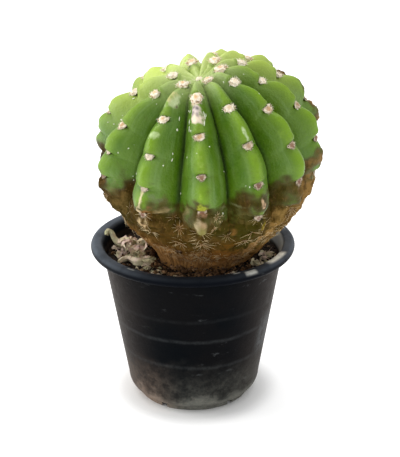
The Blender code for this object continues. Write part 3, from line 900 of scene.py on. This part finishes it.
def cactus_skin():
    """Waxy green skin, corky brown below; the paler crests are painted highlight, the dark grooves painted
    shade.
    """
    finish, shader, place = new_finish("cactus_skin", specular=0.36)
    across, swell, cork = parts_of(attribute(shader, "shape")["Vector"])
    grain = attribute(shader, "grain")["Vector"]
    rightward, forward, arc = parts_of(grain)
    brow, pit, _ = parts_of(attribute(shader, "folds")["Vector"])
    marks = attribute(shader, "marks")
    broad = patches(place, 45, 3)
    mottle = patches(place, 190, 4, 0.6)
    fine = patches(place, 900, 3, 0.6)
    streaks = patches(stretched(grain, 26, 26, 2.2), 1.0, 5, 0.65)
    waxy = stepped(patches(stretched(grain, 14, 14, 1.0), 1.0, 4, 0.6), 0.45, 0.75)
    # Painted highlight: the crests are yellower on top, most where they bulge.
    crest = times(stepped(across, 0.02, 0.42, 1.0, 0.0), stepped(swell, 0.1, 0.9, 0.15, 0.95))
    # Painted shade: the grooves are darker towards their bottoms.
    groove = stepped(across, 0.84, 0.99)
    # Painted light: the top of the stem is paler, most at the back.
    painted_top_light = times(stepped(forward, -0.6, 0.8), stepped(arc, 0.7, 1.6, 0.80, 0.0))
    green = coated(
        screen(68, 106, 12),
        (broad, 0.3, 0.7, (82, 116, 4)),
        (mottle, 0.35, 0.70, 0.0, 0.45, (98, 132, 40)),
        (times(waxy, 0.45), (124, 154, 92)),
        (crest, (108, 144, 0)),
        (times(groove, 0.7), (34, 58, 8)),
        (painted_top_light, (202, 220, 104)),
        (arc, 0.0, 0.75, 0.85, 0.0, (196, 212, 142)),
        # Painted highlight on the brows over the areoles.
        (brow, 0.2, 1.0, 0.0, 0.65, (104, 134, 22)),
        # Painted shade in the pits that hold the areoles.
        (pit, 0.10, 0.7, 0.0, 0.85, (52, 52, 16)),
    )
    # Corky skin: olive and brown patches, dark cracks, pale flaking bits and dried fibres.
    ochre = maths("MULTIPLY_ADD", mottle, 0.4, rightward)
    # Low down the cork turns orange-brown and lighter still towards the foot: the hue is its own, the
    # lightening is painted fill light against the shade deep in the pot.
    low_orange_with_painted_fill = coated(screen(122, 82, 34), (mottle, 0.4, 0.6, (164, 120, 70)))
    hairs = patches(stretched(place, 1.0, 1.0, 0.40), 620, 3, 0.6, 1.6)
    tan = coated(
        screen(78, 58, 18),
        (broad, 0.36, 0.58, (58, 52, 8)),
        (ochre, 0.80, 1.20, (134, 104, 56)),
        (rightward, -0.9, -0.1, 0.5, 0.0, (52, 38, 10)),
        (mottle, 0.54, 0.74, 0.0, 0.5, (108, 80, 40)),
        (mottle, 0.46, 0.28, 0.0, 0.5, (50, 34, 8)),
        (arc, 2.90, 3.30, 0.0, 0.85, low_orange_with_painted_fill),
        (arc, 3.20, 3.42, 0.0, 0.6, (190, 140, 86)),
        (streaks, 0.50, 0.66, 0.0, 0.6, (50, 34, 12)),
        (hairs, 0.58, 0.70, 0.0, 0.35, (150, 116, 70)),
        (hairs, 0.44, 0.34, 0.0, 0.55, (38, 24, 6)),
    )
    # Olive leads over from green to cork, and the marks lie on all of it with ragged edges.
    edged = uneven(cork, mottle, 0.7)
    worn = uneven(uneven(marks["Alpha"], mottle, 1.3), fine, 0.6)
    skin = coated(
        green,
        (edged, 0.0, 0.55, (66, 66, 6)),
        (edged, 0.30, 0.90, tan),
        (worn, 0.15, 0.95, 0.0, 0.92, marks["Color"]),
    )
    feed(shader, "Base Color", skin)
    gloss = stepped(mottle, 0.3, 0.7, 0.36, 0.52)
    feed(shader, "Roughness", largest(gloss, times(cork, 0.8), times(groove, 0.9)))
    feed(shader, "Specular IOR Level", stepped(cork, 0.0, 1.0, 0.36, 0.05))
    bumped(shader, maths("ADD", fine, times(cork, streaks)), 0.0004)
    return finish


def make_stem():
    rows = ROWS_ABOVE_SOIL + ROWS_IN_SOIL
    columns = RIBS * COLUMNS_PER_RIB
    stem = bmesh.new()
    bmesh.ops.create_uvsphere(stem, u_segments=columns, v_segments=rows, radius=1)
    shape, grain, folds = (
        stem.verts.layers.float_vector.new(name) for name in ("shape", "grain", "folds")
    )
    painted = stem.verts.layers.float_color.new("marks")
    places = []
    for point in stem.verts:
        arc = row_arc(round(math.acos(min(max(point.co.z, -1), 1)) / math.pi * rows))
        turn = math.atan2(point.co.y, point.co.x) / (2 * math.pi) % 1.0
        rib = round(turn * columns) % columns / COLUMNS_PER_RIB
        point.co = stem_point(arc, rib)
        places.append((arc, rib))
    bmesh.ops.recalc_face_normals(stem, faces=stem.faces[:])
    stem.normal_update()
    marks = set_out((*row, screen(*paint), strength) for *row, paint, strength in SKIN_MARKS)
    knobs = set_out(KNOBS)
    moves = []
    for point, (arc, rib) in zip(stem.verts, places):
        nearest = round(rib)
        across = 2 * abs(rib - nearest)
        angle = rib_direction(rib)
        cork = corkiness(point.co, angle, arc, across)
        brow, pit = areole_relief(nearest, arc, across, math.pi * crest_at(arc)[0] / RIBS)
        brow *= 1 - 0.8 * cork
        pit *= 1 - 0.5 * cork
        point[shape] = (across, swelling(nearest, arc), cork)
        point[grain] = (math.sin(angle), -math.cos(angle), arc / GRAIN_LENGTH)
        # Brow and pit also place the painted highlight on the brows and the painted shade in the pits.
        point[folds] = (brow, pit, 0.0)
        point[painted] = mark_at(point.co, marks)
        rise = skin_relief(point.co, arc, cork) + BROW_HEIGHT * brow - PIT_DEPTH * pit
        rise += knob_rise(point.co, knobs)
        moves.append(point.normal * rise)
    for point, move in zip(stem.verts, moves):
        point.co += move
    add_piece("cactus_stem", stem, cactus_skin(), "cactus", sharp=62)


make_stem()

# The areoles' wool. Every notch of a crest holds a pad of felted wool, cream and full near
# the crown and worn down to a brown scar on the old ribs. It grows out of the skin.
PAD_RADIUS = 0.0038
OLD_PAD_RADIUS = 0.0026
PAD_BELOW_NOTCH = 0.0010
PAD_RAISED = 0.26
WOOL_FIBRES = 110
WOOL_FIBRE_WIDTH = 0.042
WOOL_KINDS = 5

# How many steps from the crown the full pads reach, the middling ones and the last ones.
FULL_UNTIL = 1.7
MIDDLING_UNTIL = 2.7
LAST_WOOL = 4.6


def fibre_finish(name, young, old, young_root, old_root, roughness):
    """Hair or spine: its colour goes from young to old by age, darker at the root."""
    finish, shader, place = new_finish(name, roughness=roughness, specular=0.2)
    age, along, luck = parts_of(attribute(shader, "tint")["Vector"])
    mottle = patches(place, 900, 3)
    root = coated(screen(*young_root), (age, old_root), (luck, 0.55, 0.85, 0.0, 0.6, young))
    colour = coated(
        screen(*young),
        (age, old),
        (along, 0.12, 0.65, 0.9, 0.0, root),
        (mottle, 0.45, 0.70, 0.0, 0.45, root),
    )
    feed(shader, "Base Color", colour)
    return finish


def tinted_bmesh():
    """An empty bmesh whose points will carry a tint, and that layer."""
    bank = bmesh.new()
    return bank, bank.verts.layers.float_vector.new("tint")


def placed(point, *axes):
    """A matrix that puts the origin at a point and turns x, y and z to these axes."""
    return Matrix.Translation(point) @ Matrix(axes).transposed().to_4x4()


def add_ring(bank, centre, heading, radius, sides, capped):
    """The points of a ring square to its heading, with a face across it where it is capped."""
    turn = heading.to_track_quat("Z", "Y").to_matrix().to_4x4()
    place = Matrix.Translation(centre) @ turn
    made = bmesh.ops.create_circle(bank, cap_ends=capped, segments=sides, radius=radius, matrix=place)
    return made["verts"]


def bridge_rings(bank, rings):
    """Faces from each ring of points to the next, always in the same order."""
    loops = [list(dict.fromkeys(e for corner in ring for e in corner.link_edges)) for ring in rings]
    for low, high in zip(loops, loops[1:]):
        bmesh.ops.bridge_loops(bank, edges=low + high)


def add_fibre(bank, layer, root, direction, length, width, bend, sides, rings):
    """A tapering hair or spine that curves a little: rings bridged from root to tip."""
    bent = direction.orthogonal().normalized() * bend * length
    loops = []
    for n in range(rings):
        t = n / (rings - 1)
        centre = root + direction * length * t + bent * t * t
        heading = direction * length + 2 * bent * t
        ring = add_ring(bank, centre, heading, width * (1 - 0.88 * t), sides, n in (0, rings - 1))
        for corner in ring:
            corner[layer] = (0.0, t, 0.0)
        loops.append(ring)
    bridge_rings(bank, loops)


def wool_tuft(draw, fullness):
    """One pad of wool, a unit wide, on z = 0: full and fluffy, or worn to a sunken wedge."""
    tuft, layer = tinted_bmesh()
    seed = Vector((draw.uniform(0, 50), 0, 0))
    worn = 1 - fullness
    body = 0.74 + 0.14 * worn
    bmesh.ops.create_icosphere(tuft, subdivisions=3, radius=body)
    taper = 0.20 + 0.55 * worn
    for point in tuft.verts:
        x, y, z = point.co
        reach = math.hypot(x, y) / body
        rough = 1 + 0.44 * noise.noise(point.co * 2.4 + seed) + 0.30 * noise.noise(point.co * 6 + seed)
        hollow = worn * (1 - min(1.0, reach)) ** 0.6
        width = 1 + taper * y - 0.15 * taper
        rise = (0.42 + 0.14 * fullness) * z * rough - 0.30 * hollow
        point.co = Vector((x * rough * width, y * rough, rise))
        point[layer] = (0.0, min(1.0, reach) ** (1.2 + 1.2 * worn), 0.2)
    for n in range(WOOL_FIBRES):
        turn = draw.uniform(0, 2 * math.pi)
        reach = draw.random() ** (0.5 - 0.35 * worn) * 0.80
        root = Vector((reach * math.cos(turn), reach * math.sin(turn), 0.24 * (1 - reach)))
        root.x *= 1 + taper * root.y
        lean = Vector((root.x, root.y, 0.25 + 0.6 * draw.random() - 0.3 * reach))
        lean += Vector([draw.uniform(-0.5, 0.5) for _ in range(3)])
        length = draw.uniform(0.25, 0.55) - 0.10 * worn
        bend = draw.uniform(-0.6, 0.6)
        add_fibre(tuft, layer, root, lean.normalized(), length, WOOL_FIBRE_WIDTH, bend, 3, 3)
    return as_mesh("wool_tuft", tuft)


def add_copy(bank, mesh, matrix, age, luck):
    """Adds a transformed copy of a mesh to a bmesh, with its age and luck in its tint."""
    start = len(bank.verts)
    mesh.transform(matrix)
    bank.from_mesh(mesh)
    mesh.transform(matrix.inverted())
    bank.verts.ensure_lookup_table()
    layer = bank.verts.layers.float_vector["tint"]
    for point in bank.verts[start:]:
        point[layer] = (age, point[layer].y, luck)


def skin_seat(arc, rib, raised=0.0):
    """A matrix that lays a thing on the skin, x across the rib, y up it and z outwards."""
    point, down, across, out = stem_frame(arc, rib)
    return placed(point + raised * out, across, -down, out)


def areole_age(step):
    """0 for the youngest areoles, near the crown, and 1 for the old ones."""
    return smooth_step(0.8, 3.7, step)


def all_areoles():
    """Each areole's rib, its step from the crown and the arc length of its pad's middle."""
    return [
        (rib, areole_step(rib, number), areole_arc(rib, number) + PAD_BELOW_NOTCH)
        for rib in range(RIBS)
        for number in range(1, AREOLES_PER_RIB + 1)
    ]


def make_wool():
    draw = random.Random(11)
    full, middling, worn = (
        [wool_tuft(draw, share) for _ in range(WOOL_KINDS)] for share in (1.0, 0.5, 0.0)
    )
    wool, _ = tinted_bmesh()
    for rib, step, arc in all_areoles():
        if step > LAST_WOOL:
            continue
        age = areole_age(step)
        radius = (PAD_RADIUS + (OLD_PAD_RADIUS - PAD_RADIUS) * age) * draw.uniform(0.9, 1.12)
        spin = Matrix.Rotation(draw.uniform(-0.25, 0.25), 4, "Z")
        size = Matrix.Diagonal((radius, radius * (1.0 - 0.15 * age), radius * (1.0 - 0.35 * age), 1.0))
        kinds = full if step < FULL_UNTIL else middling if step < MIDDLING_UNTIL else worn
        seat = skin_seat(arc, rib, PAD_RAISED * radius)
        add_copy(wool, draw.choice(kinds), seat @ size @ spin, age, draw.random())
    top = placed(*frame_at(OUTLINE[0][1]))
    add_copy(wool, full[0], top @ Matrix.Scale(0.9 * PAD_RADIUS, 4), 0.0, 0.9)
    colours = (248, 240, 222), (216, 202, 178), (226, 184, 130), (112, 72, 60)
    finish = fibre_finish("areole_wool", *colours, 0.95)
    add_piece("areole_wool", wool, finish, sharp=180)
    for tuft in full + middling + worn:
        bpy.data.meshes.remove(tuft)


make_wool()

# The spines. Each areole bears a few, stiff, needle-shaped and no longer than a fingernail:
# short and hidden in the wool near the crown, cream and spreading on the old ribs.
SPINE_WIDTH = 0.00017
FIBRE_WIDTH = 0.00009
SPINE_ROOT = 0.0006
SPINE_KINDS = 8

# Bunches of dried spines and fibres on the corky skin: arc length and rib, how many, their
# shortest and longest, and their width. More are scattered at random, a fringe of short
# ones stands along the right-hand edge, and fibres hang round the front of the foot.
STARS = [
    (0.1440, 0.08, 10, 0.0040, 0.0085, 0.00018),
    (0.1640, 0.10, 9, 0.0030, 0.0065, 0.00016),
    (0.1135, 11.60, 10, 0.0030, 0.0070, 0.00012),
    (0.1215, 0.50, 9, 0.0025, 0.0060, 0.00010),
    (0.1290, 1.35, 9, 0.0030, 0.0070, 0.00013),
    (0.1480, 11.55, 9, 0.0030, 0.0065, 0.00013),
    (0.1600, 11.15, 9, 0.0030, 0.0070, 0.00014),
    (0.0975, 0.24, 16, 0.0012, 0.0034, 0.00012),
    (0.1010, 0.32, 16, 0.0012, 0.0034, 0.00012),
    (0.1050, 0.20, 14, 0.0012, 0.0034, 0.00012),
]
MORE_STARS = 56
MORE_ARCS = (0.106, 0.166)
FRINGE = 40
FRINGE_ARCS = (0.108, 0.168)
FRINGE_RIB = 1.62
FOOT_STARS = 26
FOOT_ARCS = (0.158, 0.171)
FOOT_RIBS = (-1.4, 1.7)


def spine_cluster(draw, count, low, high, spread, width):
    """Spines in metres that stand out of z = 0 and spread like a star."""
    cluster, layer = tinted_bmesh()
    first = draw.uniform(0, 2 * math.pi)
    for n in range(count):
        turn = first + 2 * math.pi * (n + draw.uniform(-0.3, 0.3)) / count
        tilt = math.radians(draw.uniform(*spread))
        outwards = compass(turn)
        direction = math.sin(tilt) * outwards + Vector((0, 0, math.cos(tilt)))
        length = draw.uniform(low, high)
        bend = draw.uniform(-0.12, 0.12)
        add_fibre(cluster, layer, SPINE_ROOT * outwards, direction, length, width, bend, 4, 4)
    return as_mesh("spine_cluster", cluster)


def make_spines():
    draw = random.Random(23)
    short, middle, long, fibres = (
        [spine_cluster(draw, *kind) for _ in range(SPINE_KINDS)]
        for kind in (
            (3, 0.0006, 0.0013, (35, 80), 0.6 * SPINE_WIDTH),
            (4, 0.0010, 0.0024, (50, 84), 0.6 * SPINE_WIDTH),
            (9, 0.0040, 0.0075, (58, 86), SPINE_WIDTH),
            (8, 0.0020, 0.0070, (76, 92), FIBRE_WIDTH),
        )
    )
    spines, _ = tinted_bmesh()
    for rib, step, arc in all_areoles():
        kinds = [short] if step < 3 else [middle] if step < 4.4 else [long, fibres]
        for kind in kinds:
            spin = Matrix.Rotation(draw.uniform(0, 2 * math.pi), 4, "Z")
            seat = skin_seat(arc, rib) @ spin
            add_copy(spines, draw.choice(kind), seat, areole_age(step), draw.random())
    loose = [(*star, 0.0) for star in STARS]
    for _ in range(MORE_STARS):
        spot = (draw.uniform(*MORE_ARCS), draw.uniform(0, RIBS))
        width = FIBRE_WIDTH * draw.uniform(0.8, 1.3)
        loose.append((*spot, draw.randint(3, 6), 0.0012, 0.0050, width, 0.0))
    for _ in range(FRINGE):
        arc = draw.uniform(*FRINGE_ARCS)
        rib = FRINGE_RIB + 0.4 * smooth_step(0.125, 0.108, arc) + draw.uniform(-0.12, 0.12)
        loose.append((arc, rib, 4, 0.0012, 0.0032, FIBRE_WIDTH, 0.2))
    for _ in range(FOOT_STARS):
        spot = (draw.uniform(*FOOT_ARCS), draw.uniform(*FOOT_RIBS) % RIBS)
        loose.append((*spot, 5, 0.0020, 0.0050, FIBRE_WIDTH * draw.uniform(0.9, 1.5), 0.0))
    for arc, rib, count, low, high, width, luck in loose:
        bunch = spine_cluster(draw, count, low, high, (66, 90), width)
        add_copy(spines, bunch, skin_seat(arc, rib), 0.9, luck)
        bpy.data.meshes.remove(bunch)
    colours = (228, 208, 178), (226, 206, 160), (186, 146, 106), (156, 120, 80)
    add_piece("spines", spines, fibre_finish("spines", *colours, 0.6), sharp=180)
    for cluster in short + middle + long + fibres:
        bpy.data.meshes.remove(cluster)


make_spines()

# White flecks on the skin: dried drops of water and bits of wool that cling to it. They are
# about a millimetre wide or less, and some are drawn out along the rib. A row is the arc
# length and rib, the half width and the half length; more are scattered at random.
FLECKS = [
    (0.0390, 0.20, 0.00030, 0.0022),
    (0.0385, 0.24, 0.00028, 0.0014),
    (0.0420, 11.35, 0.00055, 0.0007),
    (0.0360, 11.35, 0.00025, 0.0012),
    (0.0410, 11.10, 0.00025, 0.0004),
    (0.0570, 11.35, 0.00030, 0.0006),
    (0.0660, 11.25, 0.00040, 0.0004),
    (0.0605, 11.95, 0.00035, 0.0004),
    (0.0600, 11.70, 0.00030, 0.0004),
    (0.0565, 0.20, 0.00035, 0.0004),
    (0.0610, 11.35, 0.00030, 0.0010),
    (0.0580, 10.35, 0.00035, 0.0004),
    (0.0555, 9.35, 0.00050, 0.0006),
    (0.0215, 1.70, 0.00050, 0.0005),
    (0.0275, 3.25, 0.00040, 0.0005),
    (0.0440, 0.16, 0.00030, 0.0016),
    (0.0440, 11.74, 0.00028, 0.0018),
    (0.0400, 11.74, 0.00028, 0.0014),
    (0.0340, 11.74, 0.00028, 0.0010),
    (0.0840, 0.18, 0.00030, 0.0004),
]
MORE_FLECKS = 90
FLECK_WIDTHS = (0.00016, 0.00032)
FLECK_ARCS = (0.02, 0.10)


def make_flecks():
    draw = random.Random(31)
    spots = list(FLECKS)
    for _ in range(MORE_FLECKS):
        width = draw.uniform(*FLECK_WIDTHS)
        spot = (draw.uniform(*FLECK_ARCS), draw.uniform(0, RIBS))
        spots.append((*spot, width, width * draw.uniform(1.0, 3.0)))
    flecks = bmesh.new()
    for arc, rib, width, length in spots:
        point, down, across, out = stem_frame(arc, rib)
        place = placed(point, across, down, out) @ Matrix.Rotation(draw.uniform(-0.4, 0.4), 4, "Z")
        size = Matrix.Diagonal((1.2 * width, 1.2 * length, 0.7 * width, 1.0))
        bmesh.ops.create_icosphere(flecks, subdivisions=1, radius=1, matrix=place @ size)
    finish, shader, place = new_finish("white_flecks", roughness=0.7, specular=0.3)
    chalk = patches(place, 1500, 2)
    feed(shader, "Base Color", coated(screen(250, 250, 240), (chalk, (214, 218, 190))))
    add_piece("skin_flecks", flecks, finish, sharp=180)


make_flecks()

# The withered flowers. The plant's long flowers last a day or two, then hang limp and drop.
# Two lie on the soil on the left: a curled tube that ends in a bunch of crumpled petals,
# and a second, folded tube before it. They are dry, thin and soft.
TUBE_SIDES = 20
TUBE_STEPS = 8
PETAL_THICKNESS = 0.00022

# The tubes' routes, as x, y and height over the soil, and their radii along them.
FLOWER_ROUTE = [
    (-0.0510, 0.0050, 0.0094),
    (-0.0504, 0.0068, 0.0116),
    (-0.0484, 0.0066, 0.0106),
    (-0.0462, 0.0052, 0.0068),
    (-0.0430, 0.0042, 0.0050),
    (-0.0388, 0.0034, 0.0049),
    (-0.0352, 0.0010, 0.0050),
]
FLOWER_RADII = [0.0011, 0.0013, 0.0014, 0.0016, 0.0022, 0.0030, 0.0028]
FLOWER_PETALS = 22
TUBE_ROUTE = [
    (-0.0428, -0.0170, 0.0016),
    (-0.0410, -0.0136, 0.0020),
    (-0.0376, -0.0122, 0.0022),
    (-0.0344, -0.0152, 0.0023),
    (-0.0320, -0.0186, 0.0024),
    (-0.0282, -0.0164, 0.0024),
]
TUBE_RADII = [0.0010, 0.0014, 0.0015, 0.0018, 0.0020, 0.0018]
TUBE_PETALS = 9


def on_soil(x, y, lift):
    """A point this far above the soil's top and the gap over it."""
    return Vector((x, y, SOIL_LEVEL + SOIL_LUMP * soil_lumps(x, y) + 1.5 * GAP + lift))


def dry_petal_finish():
    """Papery and wrinkled: cream and pink petals, grey-green and tan tubes by tint."""
    finish, shader, place = new_finish("dry_petal", roughness=0.8, specular=0.25)
    kind, along, _ = parts_of(attribute(shader, "tint")["Vector"])
    broad = patches(place, 160, 4)
    fine = patches(place, 900, 5, 0.7)
    tube = coated(screen(160, 162, 122), (broad, 0.35, 0.65, (204, 196, 160)))
    colour = coated(
        screen(246, 234, 200),
        (broad, 0.42, 0.60, (232, 204, 194)),
        (kind, tube),
        (fine, 0.54, 0.78, 0.0, 0.45, (110, 92, 66)),
        (along, 0.80, 1.0, 0.0, 0.4, (132, 106, 76)),
    )
    feed(shader, "Base Color", colour)
    bumped(shader, maths("ADD", fine, broad), 0.0005)
    return finish


def value_at(values, place):
    """The value at a place in a list that may lie between two of its values."""
    place = min(place, len(values) - 1.001)
    low = int(place)
    return values[low] + (values[low + 1] - values[low]) * (place - low)


def add_limp_tube(bank, layer, route, radii, kind, seed):
    """A wrinkled tube along a smooth route, closed at its ends, its folds running along it."""
    line = smooth_line(route, TUBE_STEPS)
    rings = []
    for n, centre in enumerate(line):
        ahead = line[min(n + 1, len(line) - 1)] - line[max(n - 1, 0)]
        radius = value_at(radii, n / TUBE_STEPS)
        ring = add_ring(bank, centre, ahead, radius, TUBE_SIDES, n in (0, len(line) - 1))
        for k, corner in enumerate(ring):
            angle = 2 * math.pi * k / TUBE_SIDES
            folds = 0.14 * math.cos(5 * angle + 0.12 * n + seed) + 0.10 * math.cos(3 * angle - 0.2 * n)
            pinch = 0.16 * noise.noise(centre / 0.0022 + Vector((seed, 0, 0)))
            corner.co = centre + (corner.co - centre) * (1 + folds + pinch)
            corner[layer] = (kind, n / len(line), 0.5)
        rings.append(ring)
    bridge_rings(bank, rings)


def add_petal(bank, root, heading, pitch, length, width, curl, seed, kind=0.0):
    """A thin crumpled petal: a grid bent down along its length and creased, then thickened."""
    strip, tint = tinted_bmesh()
    bmesh.ops.create_grid(strip, x_segments=16, y_segments=6, size=0.5)
    turn = Matrix.Rotation(heading, 3, "Z") @ Matrix.Rotation(-pitch, 3, "Y")
    for point in strip.verts:
        along = point.co.x + 0.5
        side = point.co.y * 2
        shape = math.sin(math.pi * (0.10 + 0.82 * along)) ** 0.7
        bend = curl * along
        reach = length * (math.sin(bend) / curl)
        drop = length * ((1 - math.cos(bend)) / curl)
        spot = Vector((reach, 0.5 * width * shape * side, -drop))
        crease = noise.noise(Vector((along * 3.5, side * 2.2, seed)))
        fine = noise.noise(Vector((along * 9, side * 5, seed + 9)))
        spot.z += width * (0.30 * crease + 0.12 * fine + 0.22 * side * side)
        spot.y += 0.25 * width * noise.noise(Vector((along * 2.5, seed, side)))
        point.co = root + turn @ spot
        point[tint] = (kind, along, 0.5)
    bmesh.ops.recalc_face_normals(strip, faces=strip.faces[:])
    bmesh.ops.solidify(strip, geom=strip.faces[:], thickness=PETAL_THICKNESS)
    # A sharp fold can throw the thickened side far out, so such points are drawn back.
    for point in strip.verts:
        out = point.co - root
        if out.length > 1.25 * length:
            point.co = root + out * (1.25 * length / out.length)
    mesh = as_mesh("petal", strip)
    bank.from_mesh(mesh)
    bpy.data.meshes.remove(mesh)


def make_withered_flower(finish):
    route = [on_soil(*spot) for spot in FLOWER_ROUTE]
    flower, layer = tinted_bmesh()
    add_limp_tube(flower, layer, route, FLOWER_RADII, 0.9, 1.0)
    draw = random.Random(5)
    for n in range(FLOWER_PETALS):
        heading = math.radians(-170 + 340 * n / (FLOWER_PETALS - 1) + draw.uniform(-12, 12))
        spread = compass(heading, draw.uniform(-0.8, 1.2))
        root = route[-1] + Vector((0.0008, 0.0006, 0.0)) + spread * 0.0022
        pitch = math.radians(draw.uniform(-5, 65))
        length = draw.uniform(0.0050, 0.0080)
        width = draw.uniform(0.0030, 0.0050)
        curl, kind = draw.uniform(1.2, 2.6), draw.random() ** 4
        add_petal(flower, root, heading, pitch, length, width, curl, n * 3.1, kind)
    # Four small ones stand on the widest part of the tube.
    for n in range(4):
        root = route[5] + Vector((draw.uniform(-0.002, 0.002), draw.uniform(-0.001, 0.003), 0.0024))
        add_petal(flower, root, math.radians(100 + 40 * n), 0.5, 0.0050, 0.0034, 1.6, 90 + n * 3.1)
    add_piece("withered_flower_petals", flower, finish, "withered_flower", sharp=60)


def make_withered_tube(finish):
    route = [on_soil(*spot) for spot in TUBE_ROUTE]
    tube, layer = tinted_bmesh()
    add_limp_tube(tube, layer, route, TUBE_RADII, 0.35, 4.0)
    draw = random.Random(8)
    for n in range(TUBE_PETALS):
        heading = math.radians(draw.uniform(-20, 160))
        pitch = math.radians(draw.uniform(5, 60))
        root = route[-1] + Vector([draw.uniform(-1, 1) for _ in range(3)]) * 0.0012
        add_petal(tube, root, heading, pitch, 0.0052, 0.0028, 1.8, 40 + n * 2.3, 0.5 * draw.random())
    add_piece("withered_tube_petals", tube, finish, "withered_tube", sharp=60)


# Where shed bits lie: x and y of a patch's middle, its radius, how high the bits are heaped,
# how many there are, how long the longest is, and the share of grey-green bits of tube.
SHED_PATCHES = [
    (-0.0350, 0.0085, 0.0055, 0.0085, 22, 0.0085, 0.1),
    (-0.0305, 0.0020, 0.0040, 0.0075, 18, 0.0065, 0.2),
    (-0.0400, 0.0000, 0.0060, 0.0050, 18, 0.0080, 0.3),
    (-0.0330, -0.0080, 0.0055, 0.0045, 18, 0.0070, 0.5),
    (-0.0266, -0.0168, 0.0050, 0.0065, 56, 0.0068, 0.8),
    (-0.0440, 0.0060, 0.0035, 0.0040, 8, 0.0065, 0.5),
    (-0.0290, -0.0200, 0.0055, 0.0022, 12, 0.0060, 0.7),
    (-0.0220, -0.0260, 0.0055, 0.0016, 9, 0.0055, 0.6),
    (-0.0120, -0.0350, 0.0050, 0.0012, 6, 0.0045, 0.5),
    (0.0440, -0.0050, 0.0055, 0.0022, 22, 0.0065, 0.4),
    (0.0390, -0.0160, 0.0050, 0.0016, 10, 0.0060, 0.5),
    (0.0000, 0.0440, 0.0080, 0.0010, 5, 0.0060, 0.5),
    (0.0230, -0.0330, 0.0060, 0.0012, 8, 0.0045, 0.6),
]
SHED_REACH = 0.0480


def make_shed_bits(finish):
    """Dry scraps of petal and tube that lie loose on the soil round the stem."""
    draw = random.Random(17)
    bits, _ = tinted_bmesh()
    for x, y, spread, heaped, count, longest, green in SHED_PATCHES:
        for _ in range(count):
            turn = draw.uniform(0, 2 * math.pi)
            reach = spread * math.sqrt(draw.random())
            spot = Vector((x + reach * math.cos(turn), y + reach * math.sin(turn)))
            if spot.length > SHED_REACH or (spot - Vector(STEM_FOOT)).length < STEM_FOOT_RADIUS:
                continue
            root = on_soil(spot.x, spot.y, heaped * draw.random() * (1 - 0.6 * reach / spread))
            pitch = math.radians(draw.uniform(-5, 40))
            length = draw.uniform(0.0025, longest)
            width = length * draw.uniform(0.3, 0.6)
            kind = min(max(green + draw.uniform(-0.4, 0.4), 0.0), 1.0)
            curl = draw.uniform(0.6, 2.4)
            add_petal(bits, root, turn + 2.0, pitch, length, width, curl, 50 * draw.random(), kind)
    add_piece("shed_bits", bits, finish, sharp=60)


dry_petals = dry_petal_finish()
make_withered_flower(dry_petals)
make_withered_tube(dry_petals)
make_shed_bits(dry_petals)

# The floor and the light: a plain pale floor with a painted glow, left dark as painted shade close round
# the foot, under an even white sky, with a broad high sun from behind on the left and one soft lamp on the
# left.
FLOOR_SIZE = 8
FLOOR_GLOW = 0.30
SHADE = (1.20 * FOOT_RADIUS, 1.65 * FOOT_RADIUS)
OBJECT_MIDDLE = (0.0, 0.0, 0.11)


def add_floor():
    """A plain floor that glows a little, but for the shade close round the foot."""
    ground = bmesh.new()
    bmesh.ops.create_grid(ground, x_segments=1, y_segments=1, size=FLOOR_SIZE)
    mesh = as_mesh("floor", ground)
    finish, shader, place = new_finish("pale_floor", roughness=0.9, specular=0.1)
    shader.inputs["Base Color"].default_value = (0.92, 0.92, 0.92, 1.0)
    shader.inputs["Emission Color"].default_value = (1.0, 1.0, 1.0, 1.0)
    feed(shader, "Emission Strength", stepped(length_of(place), *SHADE, 0.0, FLOOR_GLOW))
    mesh.materials.append(finish)
    new_object("floor", mesh)


def add_softbox(name, place, size, power, colour):
    """A round soft light that points at the object's middle."""
    light = bpy.data.lights.new(name, "AREA")
    light.shape = "DISK"
    light.size = size
    light.energy = power
    light.color = colour
    lamp = new_object(name, light)
    lamp.location = place
    lamp.rotation_euler = (Vector(OBJECT_MIDDLE) - Vector(place)).to_track_quat("-Z", "Y").to_euler()


def add_sky(strength):
    world = bpy.data.worlds.new("soft_light")
    world.use_nodes = True
    background = world.node_tree.nodes["Background"]
    background.inputs["Color"].default_value = (1.0, 1.0, 1.0, 1.0)
    background.inputs["Strength"].default_value = strength
    bpy.context.scene.world = world


def add_high_sun(place, strength, spread):
    """A broad, even light from far off, on the line from place to the origin."""
    light = bpy.data.lights.new("high_sun", "SUN")
    light.energy = strength
    light.angle = math.radians(spread)
    new_object("high_sun", light).rotation_euler = Vector(place).to_track_quat("Z", "Y").to_euler()


add_floor()
add_sky(0.92)
add_high_sun((-0.15, 0.25, 1.0), strength=1.1, spread=60)
add_softbox("left", (-1.10, 0.10, 0.45), size=0.7, power=6, colour=(1.0, 1.0, 0.96))

# The camera, fitted to the pot's rim, wall and foot in the photograph.
CAMERA_ELEVATION = math.radians(22.331)
CAMERA_DISTANCE = 0.81416
CAMERA_ROLL = math.radians(-0.332)
CAMERA_AIM = Vector((0.004272, 0.0, 0.103097))
FOCAL_PIXELS = 1386.6
PICTURE_HEIGHT = 457
SENSOR = 36.0


def add_camera():
    back = Vector((0, -math.cos(CAMERA_ELEVATION), math.sin(CAMERA_ELEVATION)))
    right = Vector((1, 0, 0))
    across = math.cos(CAMERA_ROLL) * right + math.sin(CAMERA_ROLL) * back.cross(right)
    data = bpy.data.cameras.new("camera")
    data.sensor_width = SENSOR
    data.lens = FOCAL_PIXELS / PICTURE_HEIGHT * SENSOR
    camera = new_object("camera", data)
    camera.location = CAMERA_AIM + back * CAMERA_DISTANCE
    camera.rotation_euler = Matrix((across, back.cross(across), back)).transposed().to_euler()
    bpy.context.scene.camera = camera


add_camera()
bpy.context.scene.view_settings.view_transform = "Standard"
